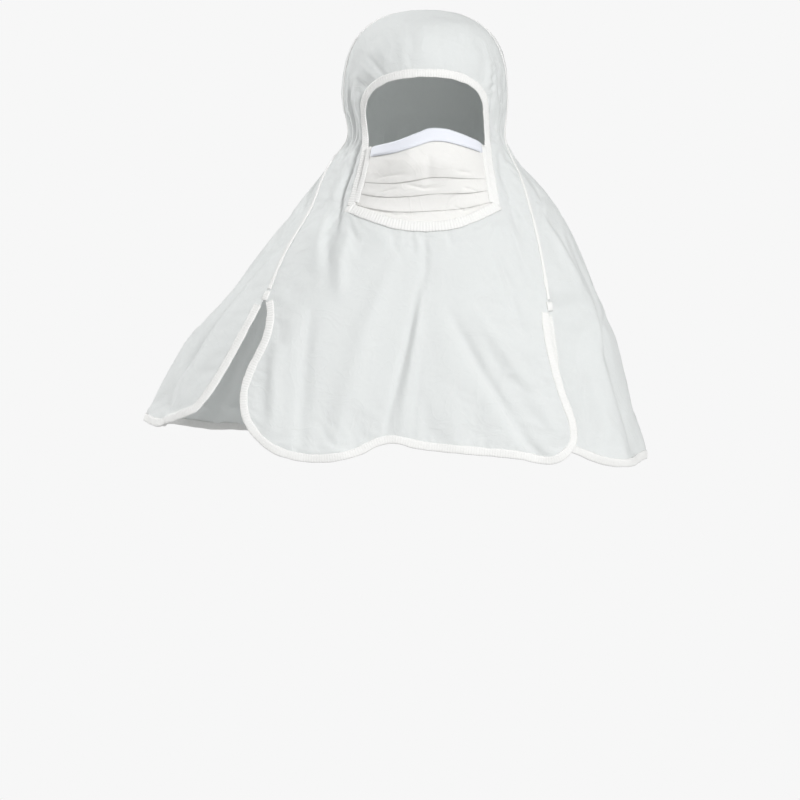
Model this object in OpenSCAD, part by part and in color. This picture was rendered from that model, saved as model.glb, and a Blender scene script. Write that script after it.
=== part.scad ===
// Cleanroom hood with a shoulder cape and a sewn-in pleated face mask, worn shape.
// Millimetres. The origin is the seat on top of the wearer's head, +Z is up and the
// wearer faces -Y, so +X is the wearer's left.

/* [Crown] */
// Half of the crown's width over the ears
crown_half_w = 85; // [82:1:88]
// Reach of the crown in front of the head's axis
crown_front = 102; // [98:1:106]
// Reach of the crown behind the head's axis
crown_back = 97; // [92:1:102]
// Height of the dome above the level where the crown is widest
dome_h = 97; // [92:1:102]
// How far in front of the top the ear-to-ear seam runs
seam_forward = 25; // [15:1:32]

/* [Cape] */
// Reach of the cape's hem over the wearer's right shoulder
cape_right_w = 283; // [265:1:295]
// Reach of the cape's hem over the wearer's left shoulder
cape_left_w = 222; // [205:1:240]
// Drop of the cape's hem at the back
cape_back_drop = 440; // [430:1:452]

/* [Bib] */
// Drop from the head's top to the line where the bib folds up
fold_drop = 311; // [309:0.5:313]
// Reach of the bib in front of the head's axis at its hem
bib_front = 140; // [134:1:144]

/* [Face opening] */
// Half of the opening's width at the brow
brow_half_w = 57; // [54:0.5:60]
// Drop of the opening's top edge
brow_drop = 79; // [76:0.5:82]
// Drop of the band under the chin, at its middle
chin_drop = 229; // [226:0.5:231]

/* [Mask] */
// Drop of the mask's top edge at the nose bridge
nose_drop = 131; // [128:0.5:134]
// Reach of the mask in front of the head's axis at the tip of the nose
nose_reach = 124; // [118:1:126]
// Depth of each of the three pleats
pleat_depth = 2.4; // [1.5:0.1:3]

/* [Nape adjuster] */
// Length of each snap tab
tab_l = 56; // [50:1:60]
// Height of each snap tab
tab_h = 18; // [16:1:22]
// Space between the snap positions
snap_pitch = 13; // [12.5:0.5:14]
// Radius of a snap's cap
snap_r = 5.5; // [5:0.25:6]

/* [Cloth] */
// Thickness given to one layer of draped cloth
cloth_t = 2; // [1.6:0.1:2.2]
// Width of the folded bindings
binding_w = 9; // [8:0.5:10]
// Thickness of the folded bindings over the cloth
binding_t = 3.6; // [3.2:0.1:4]

/* [Hidden] */

FABRIC = "#e6e9e8";
BINDING = "#f6f7f4";
MASK = "#efeeea";
MASK_BAND = "#f0f3fb";
SNAP = "#f2f2ee";
METAL = "#c9ccce";

dome_z = cloth_t / 2 - dome_h;
neck_z = -137;
nape_z = -215;
panel_gap = 1;
seam_w = 7;
seam_t = 3.2;
chin_band_w = 11;
chin_band_t = 4.6;
tack_w = 10;
tack_t = 5;
tack_over = 8;
ply_t = 1;
ply_step = 1.4;
pleat_pitch = 19;
pleat_foot_z = -218;
band_over = 1.6;
casing_in = -2.6;

// Half-widths and reaches of the worn shape, each as pairs of height and distance
RIGHT_SIDE = [[dome_z, crown_half_w], [neck_z, crown_half_w - 2], [-155, 98],
    [-327, cape_right_w - 56], [-423, cape_right_w], [-470, cape_right_w + 22]];
LEFT_SIDE = [[dome_z, crown_half_w], [neck_z, crown_half_w], [-155, 96], [-183, 122],
    [-219, 143], [-276, 168], [-343, cape_left_w - 30], [-456, cape_left_w]];
FRONT_SIDE = [[dome_z, crown_front], [neck_z, crown_front - 2], [-200, 108], [-240, 118],
    [-330, bib_front - 6], [-450, bib_front]];
BACK_SIDE = [[dome_z, crown_back], [-160, crown_back - 13], [nape_z, 72], [-260, 90],
    [-300, 107], [-350, 121], [-450, 134]];
// The sections are near ellipses at the head and squarer over the shoulders
SECTION_POWER = [[-200, 2.1], [-320, 2.9]];
DOME_POWER = 2.45;

// Where the front panel meets the back panel, and below the slit's top the cape's own edge
RIGHT_EDGE = [[dome_z, 0.974 * crown_half_w], [neck_z, crown_half_w - 4], [-156, 96],
    [-209, 117], [-250, 140], [-296, 159], [-350, 187], [-400, 218], [-411, 227]];
LEFT_EDGE = [[dome_z, 0.974 * crown_half_w], [neck_z, crown_half_w - 4], [-171, 94],
    [-237, 111], [-308, 122], [-343, 127], [-440, 132]];
right_slit_z = -297;
left_slit_z = -308;

function lerp(a, b, t) = a + (b - a) * t;
function unit(v) = v / norm(v);
function ease(t) = let (c = min(1, max(0, t))) c * c * (3 - 2 * c);
function signed_pow(v, e) = sign(v) * pow(abs(v), e);

function half_w(x, z) = lookup(z, x < 0 ? RIGHT_SIDE : LEFT_SIDE);
function reach(y, z) = lookup(z, y < 0 ? FRONT_SIDE : BACK_SIDE);
function power(z) = lookup(z, SECTION_POWER);

// The point of the worn surface on the line from the head's axis through p
function snap(p) = let (
    n = power(p.z),
    rise = max(0, p.z - dome_z) / dome_h,
    flat = pow(pow(abs(p.x) / half_w(p.x, p.z), n) + pow(abs(p.y) / reach(p.y, p.z), n), 1 / n),
    full = pow(pow(flat, DOME_POWER) + pow(rise, DOME_POWER), 1 / DOME_POWER)
) [p.x / full, p.y / full, rise > 0 ? dome_z + (p.z - dome_z) / full : p.z];

// The point of the worn surface that is seen at (x, z) from the front
function on_front(x, z) = let (
    n = power(z),
    side = min(1, abs(x) / half_w(x, z))
) [x, -reach(-1, z) * pow(1 - pow(side, n), 1 / n), z];

// The point at an angle from the front, turning past the wearer's right, the back and the left
function around(phi, z) = let (n = power(z), sx = -sin(phi), cy = -cos(phi))
    [half_w(sx, z) * signed_pow(sx, 2 / n), reach(cy, z) * signed_pow(cy, 2 / n), z];

function edge_x(side, z) = side * lookup(z, side < 0 ? RIGHT_EDGE : LEFT_EDGE);
function edge_angle(side, z) = let (
    a = asin(pow(abs(edge_x(side, z)) / half_w(side, z), power(z) / 2))
) side < 0 ? a : 360 - a;

// The long seam, from the wearer's right (s = -1) over the crown (s = 0) to the left (s = 1)
function seam(s, z_low) = abs(s) <= 0.5
    ? snap([crown_half_w * sin(180 * s), -seam_forward, dome_z + dome_h * cos(180 * s)])
    : let (z = lerp(dome_z, z_low, 2 * abs(s) - 1)) on_front(edge_x(sign(s), z), z);

// The edge of the face opening, from its lower right corner over the brow to the lower left
arch_z = -110;
corner_z = -206;
ARCH_POWER = 2.6;
RIGHT_CHEEK = [[arch_z, brow_half_w + 1], [-147, brow_half_w - 1], [-165, brow_half_w + 2], [corner_z, 70]];
LEFT_CHEEK = [[arch_z, brow_half_w - 2], [-165, brow_half_w + 2], [corner_z, 65]];
function opening(s, grow) = abs(s) <= 0.5
    ? let (
        x = (sign(s) < 0 ? RIGHT_CHEEK[0][1] : LEFT_CHEEK[0][1]) + grow,
        h = -brow_drop - arch_z + grow
    ) on_front(x * signed_pow(sin(180 * s), 2 / ARCH_POWER), arch_z + h * pow(cos(180 * s), 2 / ARCH_POWER))
    : let (z = lerp(arch_z, corner_z, 2 * abs(s) - 1))
        on_front(sign(s) * (lookup(z, sign(s) < 0 ? RIGHT_CHEEK : LEFT_CHEEK) + grow), z);

// Drop of the chin band's middle line across the face
CHIN = [[-79, corner_z - 2], [-60, -216], [-35, -225], [0, -chin_drop], [35, -224], [58, -214], [73, corner_z]];
function chin(x) = lookup(x, CHIN);

// A closed shell of even thickness on a grid of surface points
function grid_normal(g, i, j) = let (
    m = len(g) - 1, n = len(g[0]) - 1,
    a = g[min(i + 1, m)][j] - g[max(i - 1, 0)][j],
    b = g[i][min(j + 1, n)] - g[i][max(j - 1, 0)]
) unit(cross(a, b));

module shell(g, t, shift = 0) {
    m = len(g);
    n = len(g[0]);
    mid = g[floor(m / 2)][floor(n / 2)];
    out = grid_normal(g, floor(m / 2), floor(n / 2)) * (mid - [0, 0, min(mid.z, dome_z)]) > 0 ? 1 : -1;
    points = [for (k = [1, -1], i = [0:m - 1], j = [0:n - 1])
        g[i][j] + grid_normal(g, i, j) * out * (shift + k * t / 2)];
    function at(k, i, j) = k * m * n + i * n + j;
    quads = concat(
        [for (i = [0:m - 2], j = [0:n - 2]) [at(0, i, j), at(0, i, j + 1), at(0, i + 1, j + 1), at(0, i + 1, j)]],
        [for (i = [0:m - 2], j = [0:n - 2]) [at(1, i, j), at(1, i + 1, j), at(1, i + 1, j + 1), at(1, i, j + 1)]],
        [for (i = [0:m - 2]) [at(0, i, 0), at(0, i + 1, 0), at(1, i + 1, 0), at(1, i, 0)]],
        [for (i = [0:m - 2]) [at(0, i + 1, n - 1), at(0, i, n - 1), at(1, i, n - 1), at(1, i + 1, n - 1)]],
        [for (j = [0:n - 2]) [at(0, 0, j + 1), at(0, 0, j), at(1, 0, j), at(1, 0, j + 1)]],
        [for (j = [0:n - 2]) [at(0, m - 1, j), at(0, m - 1, j + 1), at(1, m - 1, j + 1), at(1, m - 1, j)]]
    );
    faces = [for (q = quads, tri = [[q[0], q[1], q[2]], [q[0], q[2], q[3]]])
        out > 0 ? tri : [tri[2], tri[1], tri[0]]];
    polyhedron(points, faces, convexity = 8);
}

// A flat oval strip laid on the worn surface along a path
SIDES = 8;
function strip_ring(path, i, w, t, lift) = let (
    p = path[i],
    along = unit(path[min(i + 1, len(path) - 1)] - path[max(i - 1, 0)]),
    radial = p - [0, 0, min(p.z, dome_z)],
    side = unit(cross(along, radial)),
    out = unit(cross(side, along))
) [for (k = [0:SIDES - 1])
    p + out * lift + side * w / 2 * cos(360 * k / SIDES) + out * t / 2 * sin(360 * k / SIDES)];

module strip(path, w = binding_w, t = binding_t, lift = 0) {
    m = len(path);
    points = [for (i = [0:m - 1]) each strip_ring(path, i, w, t, lift)];
    sides = [for (i = [0:m - 2], k = [0:SIDES - 1]) let (a = i * SIDES, b = (k + 1) % SIDES)
        each [[a + k, a + b, a + SIDES + b], [a + k, a + SIDES + b, a + SIDES + k]]];
    ends = [for (k = [1:SIDES - 2]) each [
        [0, k + 1, k], [(m - 1) * SIDES, (m - 1) * SIDES + k, (m - 1) * SIDES + k + 1]]];
    polyhedron(points, concat(sides, ends), convexity = 8);
}

// Panels, each as a function of two fractions that fills its outline
front_foot_z = -236;
function hood_front_at(u, v) =
    snap(lerp(seam(2 * u - 1, front_foot_z), opening(2 * u - 1, 3), lerp(0.01, 1, v)));

module hood_front()
    color(FABRIC) shell([for (i = [0:38]) [for (j = [0:9]) hood_front_at(i / 38, j / 9)]], cloth_t);

upper_foot_z = -fold_drop + panel_gap;
BIB_TOP = concat([[edge_x(-1, front_foot_z) + 1, front_foot_z - 2], [-84, corner_z - 4]],
    [for (p = CHIN) [p.x, p.y - 1]], [[78, corner_z - 3], [edge_x(1, front_foot_z) - 1, front_foot_z - 2]]);
function bib_upper_at(u, v) = let (
    x = lerp(BIB_TOP[0].x, BIB_TOP[len(BIB_TOP) - 1].x, u)
) on_front(lerp(x, lerp(edge_x(-1, right_slit_z) + 3, edge_x(1, left_slit_z) - 1, u), v),
    lerp(lookup(x, BIB_TOP), upper_foot_z, v));

module bib_upper()
    color(FABRIC) shell([for (i = [0:26]) [for (j = [0:7]) bib_upper_at(i / 26, j / 7)]], cloth_t);

flap_top_z = -fold_drop - panel_gap;
BIB_RIGHT = [[flap_top_z, -156], [-333, -160], [-370, -177], [-389, -183], [-420, -180], [-437, -169]];
BIB_LEFT = [[flap_top_z, 121], [-353, 126], [-390, 136], [-427, 148], [-442, 148], [-452, 142]];
BIB_HEM = [[-169, -437], [-155, -449], [-138, -456], [-101, -460], [-62, -453], [-40, -440],
    [-14, -445], [52, -453], [98, -458], [114, -462], [130, -461], [142, -452]];
// Coons patch between the flap's four edges, seen from the front
function flap_edge(table, v) = let (z = lerp(table[0][0], table[len(table) - 1][0], v)) [lookup(z, table), z];
function hem_edge(u) = let (x = lerp(BIB_HEM[0].x, BIB_HEM[len(BIB_HEM) - 1].x, u)) [x, lookup(x, BIB_HEM)];
function bib_flap_at(u, v) = let (
    top = [lerp(BIB_RIGHT[0][1], BIB_LEFT[0][1], u), flap_top_z],
    across = lerp(flap_edge(BIB_RIGHT, v), flap_edge(BIB_LEFT, v), u),
    corners = lerp(top, lerp(hem_edge(0), hem_edge(1), u), v),
    p = lerp(top, hem_edge(u), v) + across - corners
) on_front(p.x, p.y);

module bib_flap()
    color(FABRIC) shell([for (i = [0:28]) [for (j = [0:10]) bib_flap_at(i / 28, j / 10)]], cloth_t);

// The back of the hood, from the ear-to-ear seam over the head to the nape
nape_top_z = nape_z + 10;
function hood_back_at(u, v) = let (
    w = lerp(0.01, 1, v),
    a = seam(1.2 * u - 0.6, dome_z - 5 * 42),
    b = around(lerp(edge_angle(-1, nape_top_z) + 0.5, edge_angle(1, nape_top_z) - 0.5, u), nape_top_z),
    bulge = (a + b) / 2 + sin(180 * u) * [0, 125, 100]
) snap(a * pow(1 - w, 2) + bulge * 2 * w * (1 - w) + b * pow(w, 2));

module hood_back()
    color(FABRIC) shell([for (i = [0:32]) [for (j = [0:16]) hood_back_at(i / 32, j / 16)]], cloth_t);

// The cape, from the nape to its hem, with its left front edge tucked behind the bib
cape_top_z = nape_top_z - 2;
CAPE_HEM = [[0, -411], [0.04, -420], [0.16, -422], [0.5, -cape_back_drop], [0.8, -458], [0.93, -463], [1, -444]];
tuck = 9;
function cape_at(u, v) = let (
    z = lerp(cape_top_z, lookup(u, CAPE_HEM), v),
    p = around(lerp(edge_angle(-1, z) + 0.5, edge_angle(1, z) - 0.5, u), z),
    in = tuck * ease((u - 0.88) / 0.07) * ease((-285 - z) / 26)
) p - in * unit([p.x, p.y, 0]);

module cape_back()
    color(FABRIC) shell([for (i = [0:46]) [for (j = [0:14]) cape_at(i / 46, j / 14)]], cloth_t);

// Bindings and seams
module crown_seam()
    color(BINDING) strip([for (i = [0:30]) seam(i / 30 - 0.5, front_foot_z)], seam_w - 1, seam_t, 0.4);

function side_seam(side, z_end) = [for (i = [0:14]) let (z = lerp(dome_z - 3, z_end, i / 14))
    on_front(edge_x(side, z), z)];
module right_side_seam()
    color(BINDING) strip(side_seam(-1, right_slit_z + tack_over), seam_w, seam_t, 0.4);
module left_side_seam()
    color(BINDING) strip(side_seam(1, left_slit_z + tack_over), seam_w, seam_t, 0.4);

module face_binding()
    color(BINDING) strip([for (i = [0:44]) opening(i / 22 - 1, binding_w / 2)]);

module chin_band()
    color(BINDING) strip([for (i = [0:24]) let (x = lerp(-80, 74, i / 24)) on_front(x, chin(x) + 1)],
        chin_band_w, chin_band_t, 1.2);

// The hems' bindings follow the panels' edges, half a binding inside them
function inset(path, w, i) = let (
    along = unit(path[min(i + 1, len(path) - 1)] - path[max(i - 1, 0)]),
    radial = path[i] - [0, 0, min(path[i].z, dome_z)]
) path[i] + unit(cross(along, radial)) * w;
function inset_path(path, w) = [for (i = [0:len(path) - 1]) inset(path, w, i)];

bib_edge = concat([for (i = [0:9]) bib_flap_at(0, i / 10)], [for (i = [0:28]) bib_flap_at(i / 28, 1)],
    [for (i = [9:-1:0]) bib_flap_at(1, i / 10)]);
module bib_hem()
    color(BINDING) strip(inset_path(bib_edge, -binding_w / 2 + 1));

function slit_fraction(side, z) = (cape_top_z - z) / (cape_top_z - lookup(side < 0 ? 0 : 1, CAPE_HEM));
cape_edge = concat(
    [for (i = [0:8]) cape_at(0, lerp(slit_fraction(-1, right_slit_z - tack_over), 0.98, i / 8))],
    [for (i = [0:46]) cape_at(i / 46, 1)],
    [for (i = [8:-1:0]) cape_at(1, lerp(slit_fraction(1, left_slit_z - tack_over), 0.98, i / 8))]);
module cape_hem()
    color(BINDING) strip(inset_path(cape_edge, binding_w / 2 - 1));

module slit_tack(side, z)
    color(BINDING) strip([for (dz = [6, 3, 0]) on_front(edge_x(side, z + dz), z + dz)], tack_w, tack_t, 0.6);
module right_slit_tack() slit_tack(-1, right_slit_z);
module left_slit_tack() slit_tack(1, left_slit_z);

// The mask fills the lower part of the face opening, with three pleats across it
MASK_TOP = [[-60, -148], [-31, -144], [-11, -137], [5, -nose_drop], [14, -nose_drop], [34, -136], [60, -145]];
NOSE_LINE = [[-nose_drop, nose_reach - 14], [-148, nose_reach - 5], [-164, nose_reach], [-185, nose_reach - 6],
    [-212, nose_reach - 12], [-228, nose_reach - 8]];
function mask_side(side, z) = side * (lookup(z, side < 0 ? RIGHT_CHEEK : LEFT_CHEEK) + 3);
function pleat(z) = let (f = (z - pleat_foot_z) / pleat_pitch) f < 0 || f > 3 ? 0 : pleat_depth * (f - floor(f));
function mask_y(x, z) = let (
    w = abs(mask_side(sign(x) < 0 ? -1 : 1, z)) + 1,
    cheek = -on_front(w, z).y - 3,
    r = min(1, abs(x) / w)
) -(cheek + (lookup(z, NOSE_LINE) - cheek) * pow(1 - pow(r, 2.2), 0.8) + pleat(z) * ease((1 - r) / 0.25));
function mask_at(u, v) = let (
    x0 = lerp(-60, 60, u),
    z = lerp(lookup(x0, MASK_TOP), chin(x0) + 1, v),
    x = lerp(mask_side(-1, z), mask_side(1, z), u)
) [x, mask_y(x, z), z];

module mask_ply(layer)
    shell([for (i = [0:20]) [for (j = [0:18]) mask_at(i / 20, lerp(0, 0.97, j / 18))]], ply_t, -layer * ply_step);
module mask_outer_ply() color(MASK) mask_ply(0);
module mask_filter_ply() color("#dfe3e6") mask_ply(1);
module mask_lining_ply() color("#f7f7f5") mask_ply(2);

module mask_top_band()
    color(MASK_BAND) shell([for (i = [0:24]) [for (j = [0:3]) mask_at(i / 24, lerp(-0.01, 0.14, j / 3))]],
        ply_t, band_over);
module nose_wire()
    color(METAL) shell([for (i = [0:16]) [for (j = [0:1]) mask_at(lerp(0.2, 0.82, i / 16), lerp(0.04, 0.085, j))]],
        0.6, band_over);

module mask_edge(side)
    color(BINDING) strip([for (i = [0:12]) let (z = lerp(-150, corner_z + 4, i / 12))
        [side * (abs(mask_side(side, z)) - 2.5), mask_y(mask_side(side, z) - 2.5 * side, z), z]], 6, 5, -1);
module mask_right_edge() mask_edge(-1);
module mask_left_edge() mask_edge(1);

// Nape: an elastic runs in a casing, and a tab snaps to one of three sockets on each side
module nape_casing()
    color(BINDING) shell([for (i = [0:20]) [for (j = [0:2])
        around(lerp(150, 210, i / 20), nape_z + lerp(-9, 9, j / 2))]], ply_t, casing_in);
module nape_elastic()
    color("#ffffff") shell([for (i = [0:20]) [for (j = [0:1])
        around(lerp(152, 208, i / 20), nape_z + lerp(-4, 4, j))]], ply_t, casing_in);

tab_t = 1.2;
tab_root_x = 84;
tab_tip_x = tab_root_x - tab_l + snap_r + 3;
tab_z = nape_z + 24;
function nape_y(x) = reach(1, tab_z) * pow(1 - pow(x / half_w(-1, tab_z), power(tab_z)), 1 / power(tab_z));
tab_turn = atan((nape_y(tab_tip_x) - nape_y(tab_root_x)) / (tab_root_x - tab_tip_x));
tab_off = 5.2;

// Local frame of a tab: +X runs along it from its sewn end, +Y points away from the head
module tab_frame(side) {
    if (side < 0)
        translate([-tab_root_x, nape_y(tab_root_x) + tab_off, tab_z]) rotate([0, 0, tab_turn]) children();
    else
        mirror([1, 0, 0]) tab_frame(-1) children();
}
module tab_plate()
    rotate([90, 0, 0]) linear_extrude(tab_t, center = true) union() {
        translate([0, -tab_h / 2]) square([tab_l - tab_h / 2, tab_h]);
        translate([tab_l - tab_h / 2, 0]) circle(d = tab_h, $fn = 48);
    }
// The sewn end: a folded block of cloth between the hood and the tab, clear of the fold
anchor_l = 7.7;
fold_gap = 1.3;
module anchor_block()
    translate([-anchor_l - fold_gap, tab_t / 2 - tab_off, -tab_h / 2]) cube([anchor_l, tab_off, tab_h]);
module cap_disc() {
    translate([tab_l - tab_h / 2, tab_t / 2, 0]) rotate([-90, 0, 0]) {
        cylinder(r = snap_r, h = 0.8, $fn = 48);
        cylinder(r = snap_r - 1, h = 1.4, $fn = 48);
    }
}
module stud_pin() {
    translate([tab_l - tab_h / 2, -tab_t / 2, 0]) rotate([90, 0, 0]) {
        cylinder(r = snap_r - 0.5, h = 0.6, $fn = 48);
        cylinder(r = 1.8, h = 2.2, $fn = 32);
    }
}
socket_h = 1.8;
rivet_l = 5;
// A socket's ring, with the rivet that holds it through the cloth and the rivet's inner head
module socket_ring(index)
    translate([tab_l - tab_h / 2 - (index - 2) * snap_pitch, -tab_t / 2 - 0.9, 0]) rotate([90, 0, 0]) {
        difference() {
            cylinder(r = snap_r, h = socket_h, $fn = 48);
            translate([0, 0, -1]) cylinder(r = 2.3, h = socket_h + 2, $fn = 32);
        }
        translate([0, 0, socket_h]) cylinder(r = 3, h = rivet_l, $fn = 32);
        translate([0, 0, socket_h + rivet_l]) cylinder(r = 4.5, h = 0.8, $fn = 48);
    }

module right_tab_anchor() color(BINDING) tab_frame(-1) anchor_block();
module left_tab_anchor() color(BINDING) tab_frame(1) anchor_block();
module right_tab() color(FABRIC) tab_frame(-1) tab_plate();
module right_tab_cap() color(SNAP) tab_frame(-1) cap_disc();
module right_tab_stud() color(SNAP) tab_frame(-1) stud_pin();
module left_tab() color(FABRIC) tab_frame(1) tab_plate();
module left_tab_cap() color(SNAP) tab_frame(1) cap_disc();
module left_tab_stud() color(SNAP) tab_frame(1) stud_pin();
module socket(side, index) color(SNAP) tab_frame(side) socket_ring(index);

hood_front();
bib_upper();
bib_flap();
hood_back();
cape_back();
crown_seam();
right_side_seam();
left_side_seam();
face_binding();
chin_band();
bib_hem();
cape_hem();
right_slit_tack();
left_slit_tack();
mask_outer_ply();
mask_filter_ply();
mask_lining_ply();
mask_top_band();
nose_wire();
mask_right_edge();
mask_left_edge();
nape_casing();
nape_elastic();
right_tab_anchor();
right_tab();
right_tab_cap();
right_tab_stud();
left_tab_anchor();
left_tab();
left_tab_cap();
left_tab_stud();
socket(-1, 1);  // right_socket_1
socket(-1, 2);  // right_socket_2
socket(-1, 3);  // right_socket_3
socket(1, 1);  // left_socket_1
socket(1, 2);  // left_socket_2
socket(1, 3);  // left_socket_3
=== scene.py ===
"""Looks of a cleanroom hood: draped cloth, folded bindings, a pleated mask and nape snaps."""

import logging
import math
from collections.abc import Callable
from dataclasses import dataclass, field, replace
from enum import Enum

import bpy
import numpy as np
from mathutils import Matrix, Vector


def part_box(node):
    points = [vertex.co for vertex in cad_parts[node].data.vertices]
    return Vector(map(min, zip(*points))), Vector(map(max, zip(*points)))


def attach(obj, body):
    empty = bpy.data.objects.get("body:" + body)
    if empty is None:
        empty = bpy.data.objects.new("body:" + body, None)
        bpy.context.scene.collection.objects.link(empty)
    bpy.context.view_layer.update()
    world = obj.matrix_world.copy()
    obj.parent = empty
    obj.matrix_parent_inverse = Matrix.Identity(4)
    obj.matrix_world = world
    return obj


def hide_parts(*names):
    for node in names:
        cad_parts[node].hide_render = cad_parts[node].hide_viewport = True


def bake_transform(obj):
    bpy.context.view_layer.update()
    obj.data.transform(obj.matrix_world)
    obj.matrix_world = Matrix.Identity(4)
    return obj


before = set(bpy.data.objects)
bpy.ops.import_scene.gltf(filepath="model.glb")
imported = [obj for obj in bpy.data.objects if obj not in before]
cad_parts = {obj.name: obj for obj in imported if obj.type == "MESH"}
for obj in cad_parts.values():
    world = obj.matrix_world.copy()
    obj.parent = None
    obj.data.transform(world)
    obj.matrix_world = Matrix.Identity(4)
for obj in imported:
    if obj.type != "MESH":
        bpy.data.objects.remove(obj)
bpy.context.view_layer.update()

MM = 0.001
# below this depth the front panel and the cape hang free of each other, over the eased length
SLIT_DEPTH, SLIT_EASE = 285, 30
CLOTH_THICKNESS = 0.7
log = logging.getLogger("hood")


class Side(Enum):
    """The wearer's side, as the sign of X."""

    RIGHT = -1
    LEFT = 1


class Space(Enum):
    """What a fold's route is measured in."""

    FRONT = "x and height, as seen from the front"
    ROUND = "degrees round from the front past the right ear, and height"


# ---------------------------------------------------------------- small maths


def unit(v: np.ndarray) -> np.ndarray:
    """Vectors along the last axis, each made one long."""
    return v / np.maximum(np.linalg.norm(v, axis=-1, keepdims=True), 1e-9)


def ease(t: np.ndarray) -> np.ndarray:
    """A smooth step from 0 to 1."""
    c = np.clip(t, 0.0, 1.0)
    return c * c * (3.0 - 2.0 * c)


def signed_power(v: np.ndarray, e: np.ndarray) -> np.ndarray:
    """A power that keeps the sign of its base."""
    return np.sign(v) * np.abs(v) ** e


def mix(a: np.ndarray, b: np.ndarray, t: np.ndarray) -> np.ndarray:
    """The value t of the way from a to b."""
    return a + (b - a) * t


def millimetres(node: str) -> tuple[np.ndarray, np.ndarray]:
    """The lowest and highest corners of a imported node, in millimetres."""
    low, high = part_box(node)
    return np.array(low) / MM, np.array(high) / MM


@dataclass(frozen=True)
class Curve:
    """A smooth curve of value against key, through a few points."""

    points: tuple[tuple[float, float], ...]

    def at(self, key: np.ndarray) -> np.ndarray:
        """The value at each key, held level past the ends.

        Args:
            key: where to read the curve.

        Returns:
            An array of the same shape.
        """
        keys, values = np.array(sorted(self.points), float).T
        slopes = np.gradient(values, keys)
        k = np.clip(key, keys[0], keys[-1])
        i = np.clip(np.searchsorted(keys, k, side="right") - 1, 0, len(keys) - 2)
        h = keys[i + 1] - keys[i]
        t = (k - keys[i]) / h
        start = (1 + 2 * t) * (1 - t) ** 2 * values[i] + t * (1 - t) ** 2 * h * slopes[i]
        end = t * t * (3 - 2 * t) * values[i + 1] + t * t * (t - 1) * h * slopes[i + 1]
        return start + end


# ---------------------------------------------------------------- the worn shape


@dataclass(frozen=True)
class WornShape:
    """The surface that the cloth lies near: a domed crown over a tent whose sections grow downwards."""

    crown_half: float
    crown_front: float
    crown_back: float
    dome_z: float
    dome_h: float
    right: Curve
    left: Curve
    front: Curve
    back: Curve
    square_from: float = -200.0
    square_to: float = -320.0
    round_power: float = 2.1
    square_power: float = 2.9
    dome_power: float = 2.75
    seam_forward: float = 25.0

    def half_width(self, x: np.ndarray, z: np.ndarray) -> np.ndarray:
        """Half-width of the section at height z, on the side that x is on."""
        return np.where(x < 0, self.right.at(z), self.left.at(z))

    def reach(self, y: np.ndarray, z: np.ndarray) -> np.ndarray:
        """Reach of the section at height z, in front or behind as y says."""
        return np.where(y < 0, self.front.at(z), self.back.at(z))

    def power(self, z: np.ndarray) -> np.ndarray:
        """The section's squareness at height z."""
        t = np.clip((z - self.square_from) / (self.square_to - self.square_from), 0, 1)
        return mix(self.round_power, self.square_power, t)

    def snap(self, p: np.ndarray) -> np.ndarray:
        """The surface's point on the line from the head's axis through each point of p."""
        x, y, z = p[..., 0], p[..., 1], p[..., 2]
        n = self.power(z)
        rise = np.maximum(0.0, z - self.dome_z) / self.dome_h
        flat = (np.abs(x / self.half_width(x, z)) ** n + np.abs(y / self.reach(y, z)) ** n) ** (1 / n)
        full = (flat**self.dome_power + rise**self.dome_power) ** (1 / self.dome_power)
        level = np.where(rise > 0, self.dome_z + (z - self.dome_z) / full, z)
        return np.stack([x / full, y / full, level], -1)

    def on_front(self, x: np.ndarray, z: np.ndarray) -> np.ndarray:
        """The surface's point at x and z as seen from the front."""
        x, z = np.broadcast_arrays(np.asarray(x, float), np.asarray(z, float))
        n = self.power(z)
        side = np.minimum(1.0, np.abs(x) / self.half_width(x, z))
        y = -self.front.at(z) * (1 - side**n) ** (1 / n)
        return np.stack([x, y, z], -1)

    def around(self, phi: np.ndarray, z: np.ndarray) -> np.ndarray:
        """The surface's point at phi degrees round from the front, past the right ear first."""
        a = np.radians(phi)
        n = self.power(z)
        sx, cy = -np.sin(a), -np.cos(a)
        x = self.half_width(sx, z) * signed_power(sx, 2 / n)
        y = self.reach(cy, z) * signed_power(cy, 2 / n)
        return np.stack([x, y, np.broadcast_to(z, x.shape)], -1)

    def level(self, p: np.ndarray) -> np.ndarray:
        """1 on the surface, less inside it and more outside."""
        x, y, z = p[..., 0], p[..., 1], p[..., 2]
        n = self.power(z)
        rise = np.maximum(0.0, z - self.dome_z) / self.dome_h
        flat = (np.abs(x / self.half_width(x, z)) ** n + np.abs(y / self.reach(y, z)) ** n) ** (1 / n)
        return (flat**self.dome_power + rise**self.dome_power) ** (1 / self.dome_power)

    def normal(self, p: np.ndarray) -> np.ndarray:
        """Unit vectors straight out of the surface."""
        step = 1.0
        slopes = [self.level(p + d) - self.level(p - d) for d in np.eye(3) * step]
        return unit(np.stack(slopes, -1))

    def angle(self, p: np.ndarray) -> np.ndarray:
        """How many degrees round from the front each point is."""
        x, y, z = p[..., 0], p[..., 1], p[..., 2]
        n = self.power(z)
        sx = signed_power(x / self.half_width(x, z), n / 2)
        cy = signed_power(y / self.reach(y, z), n / 2)
        return np.degrees(np.arctan2(-sx, -cy)) % 360.0


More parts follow.
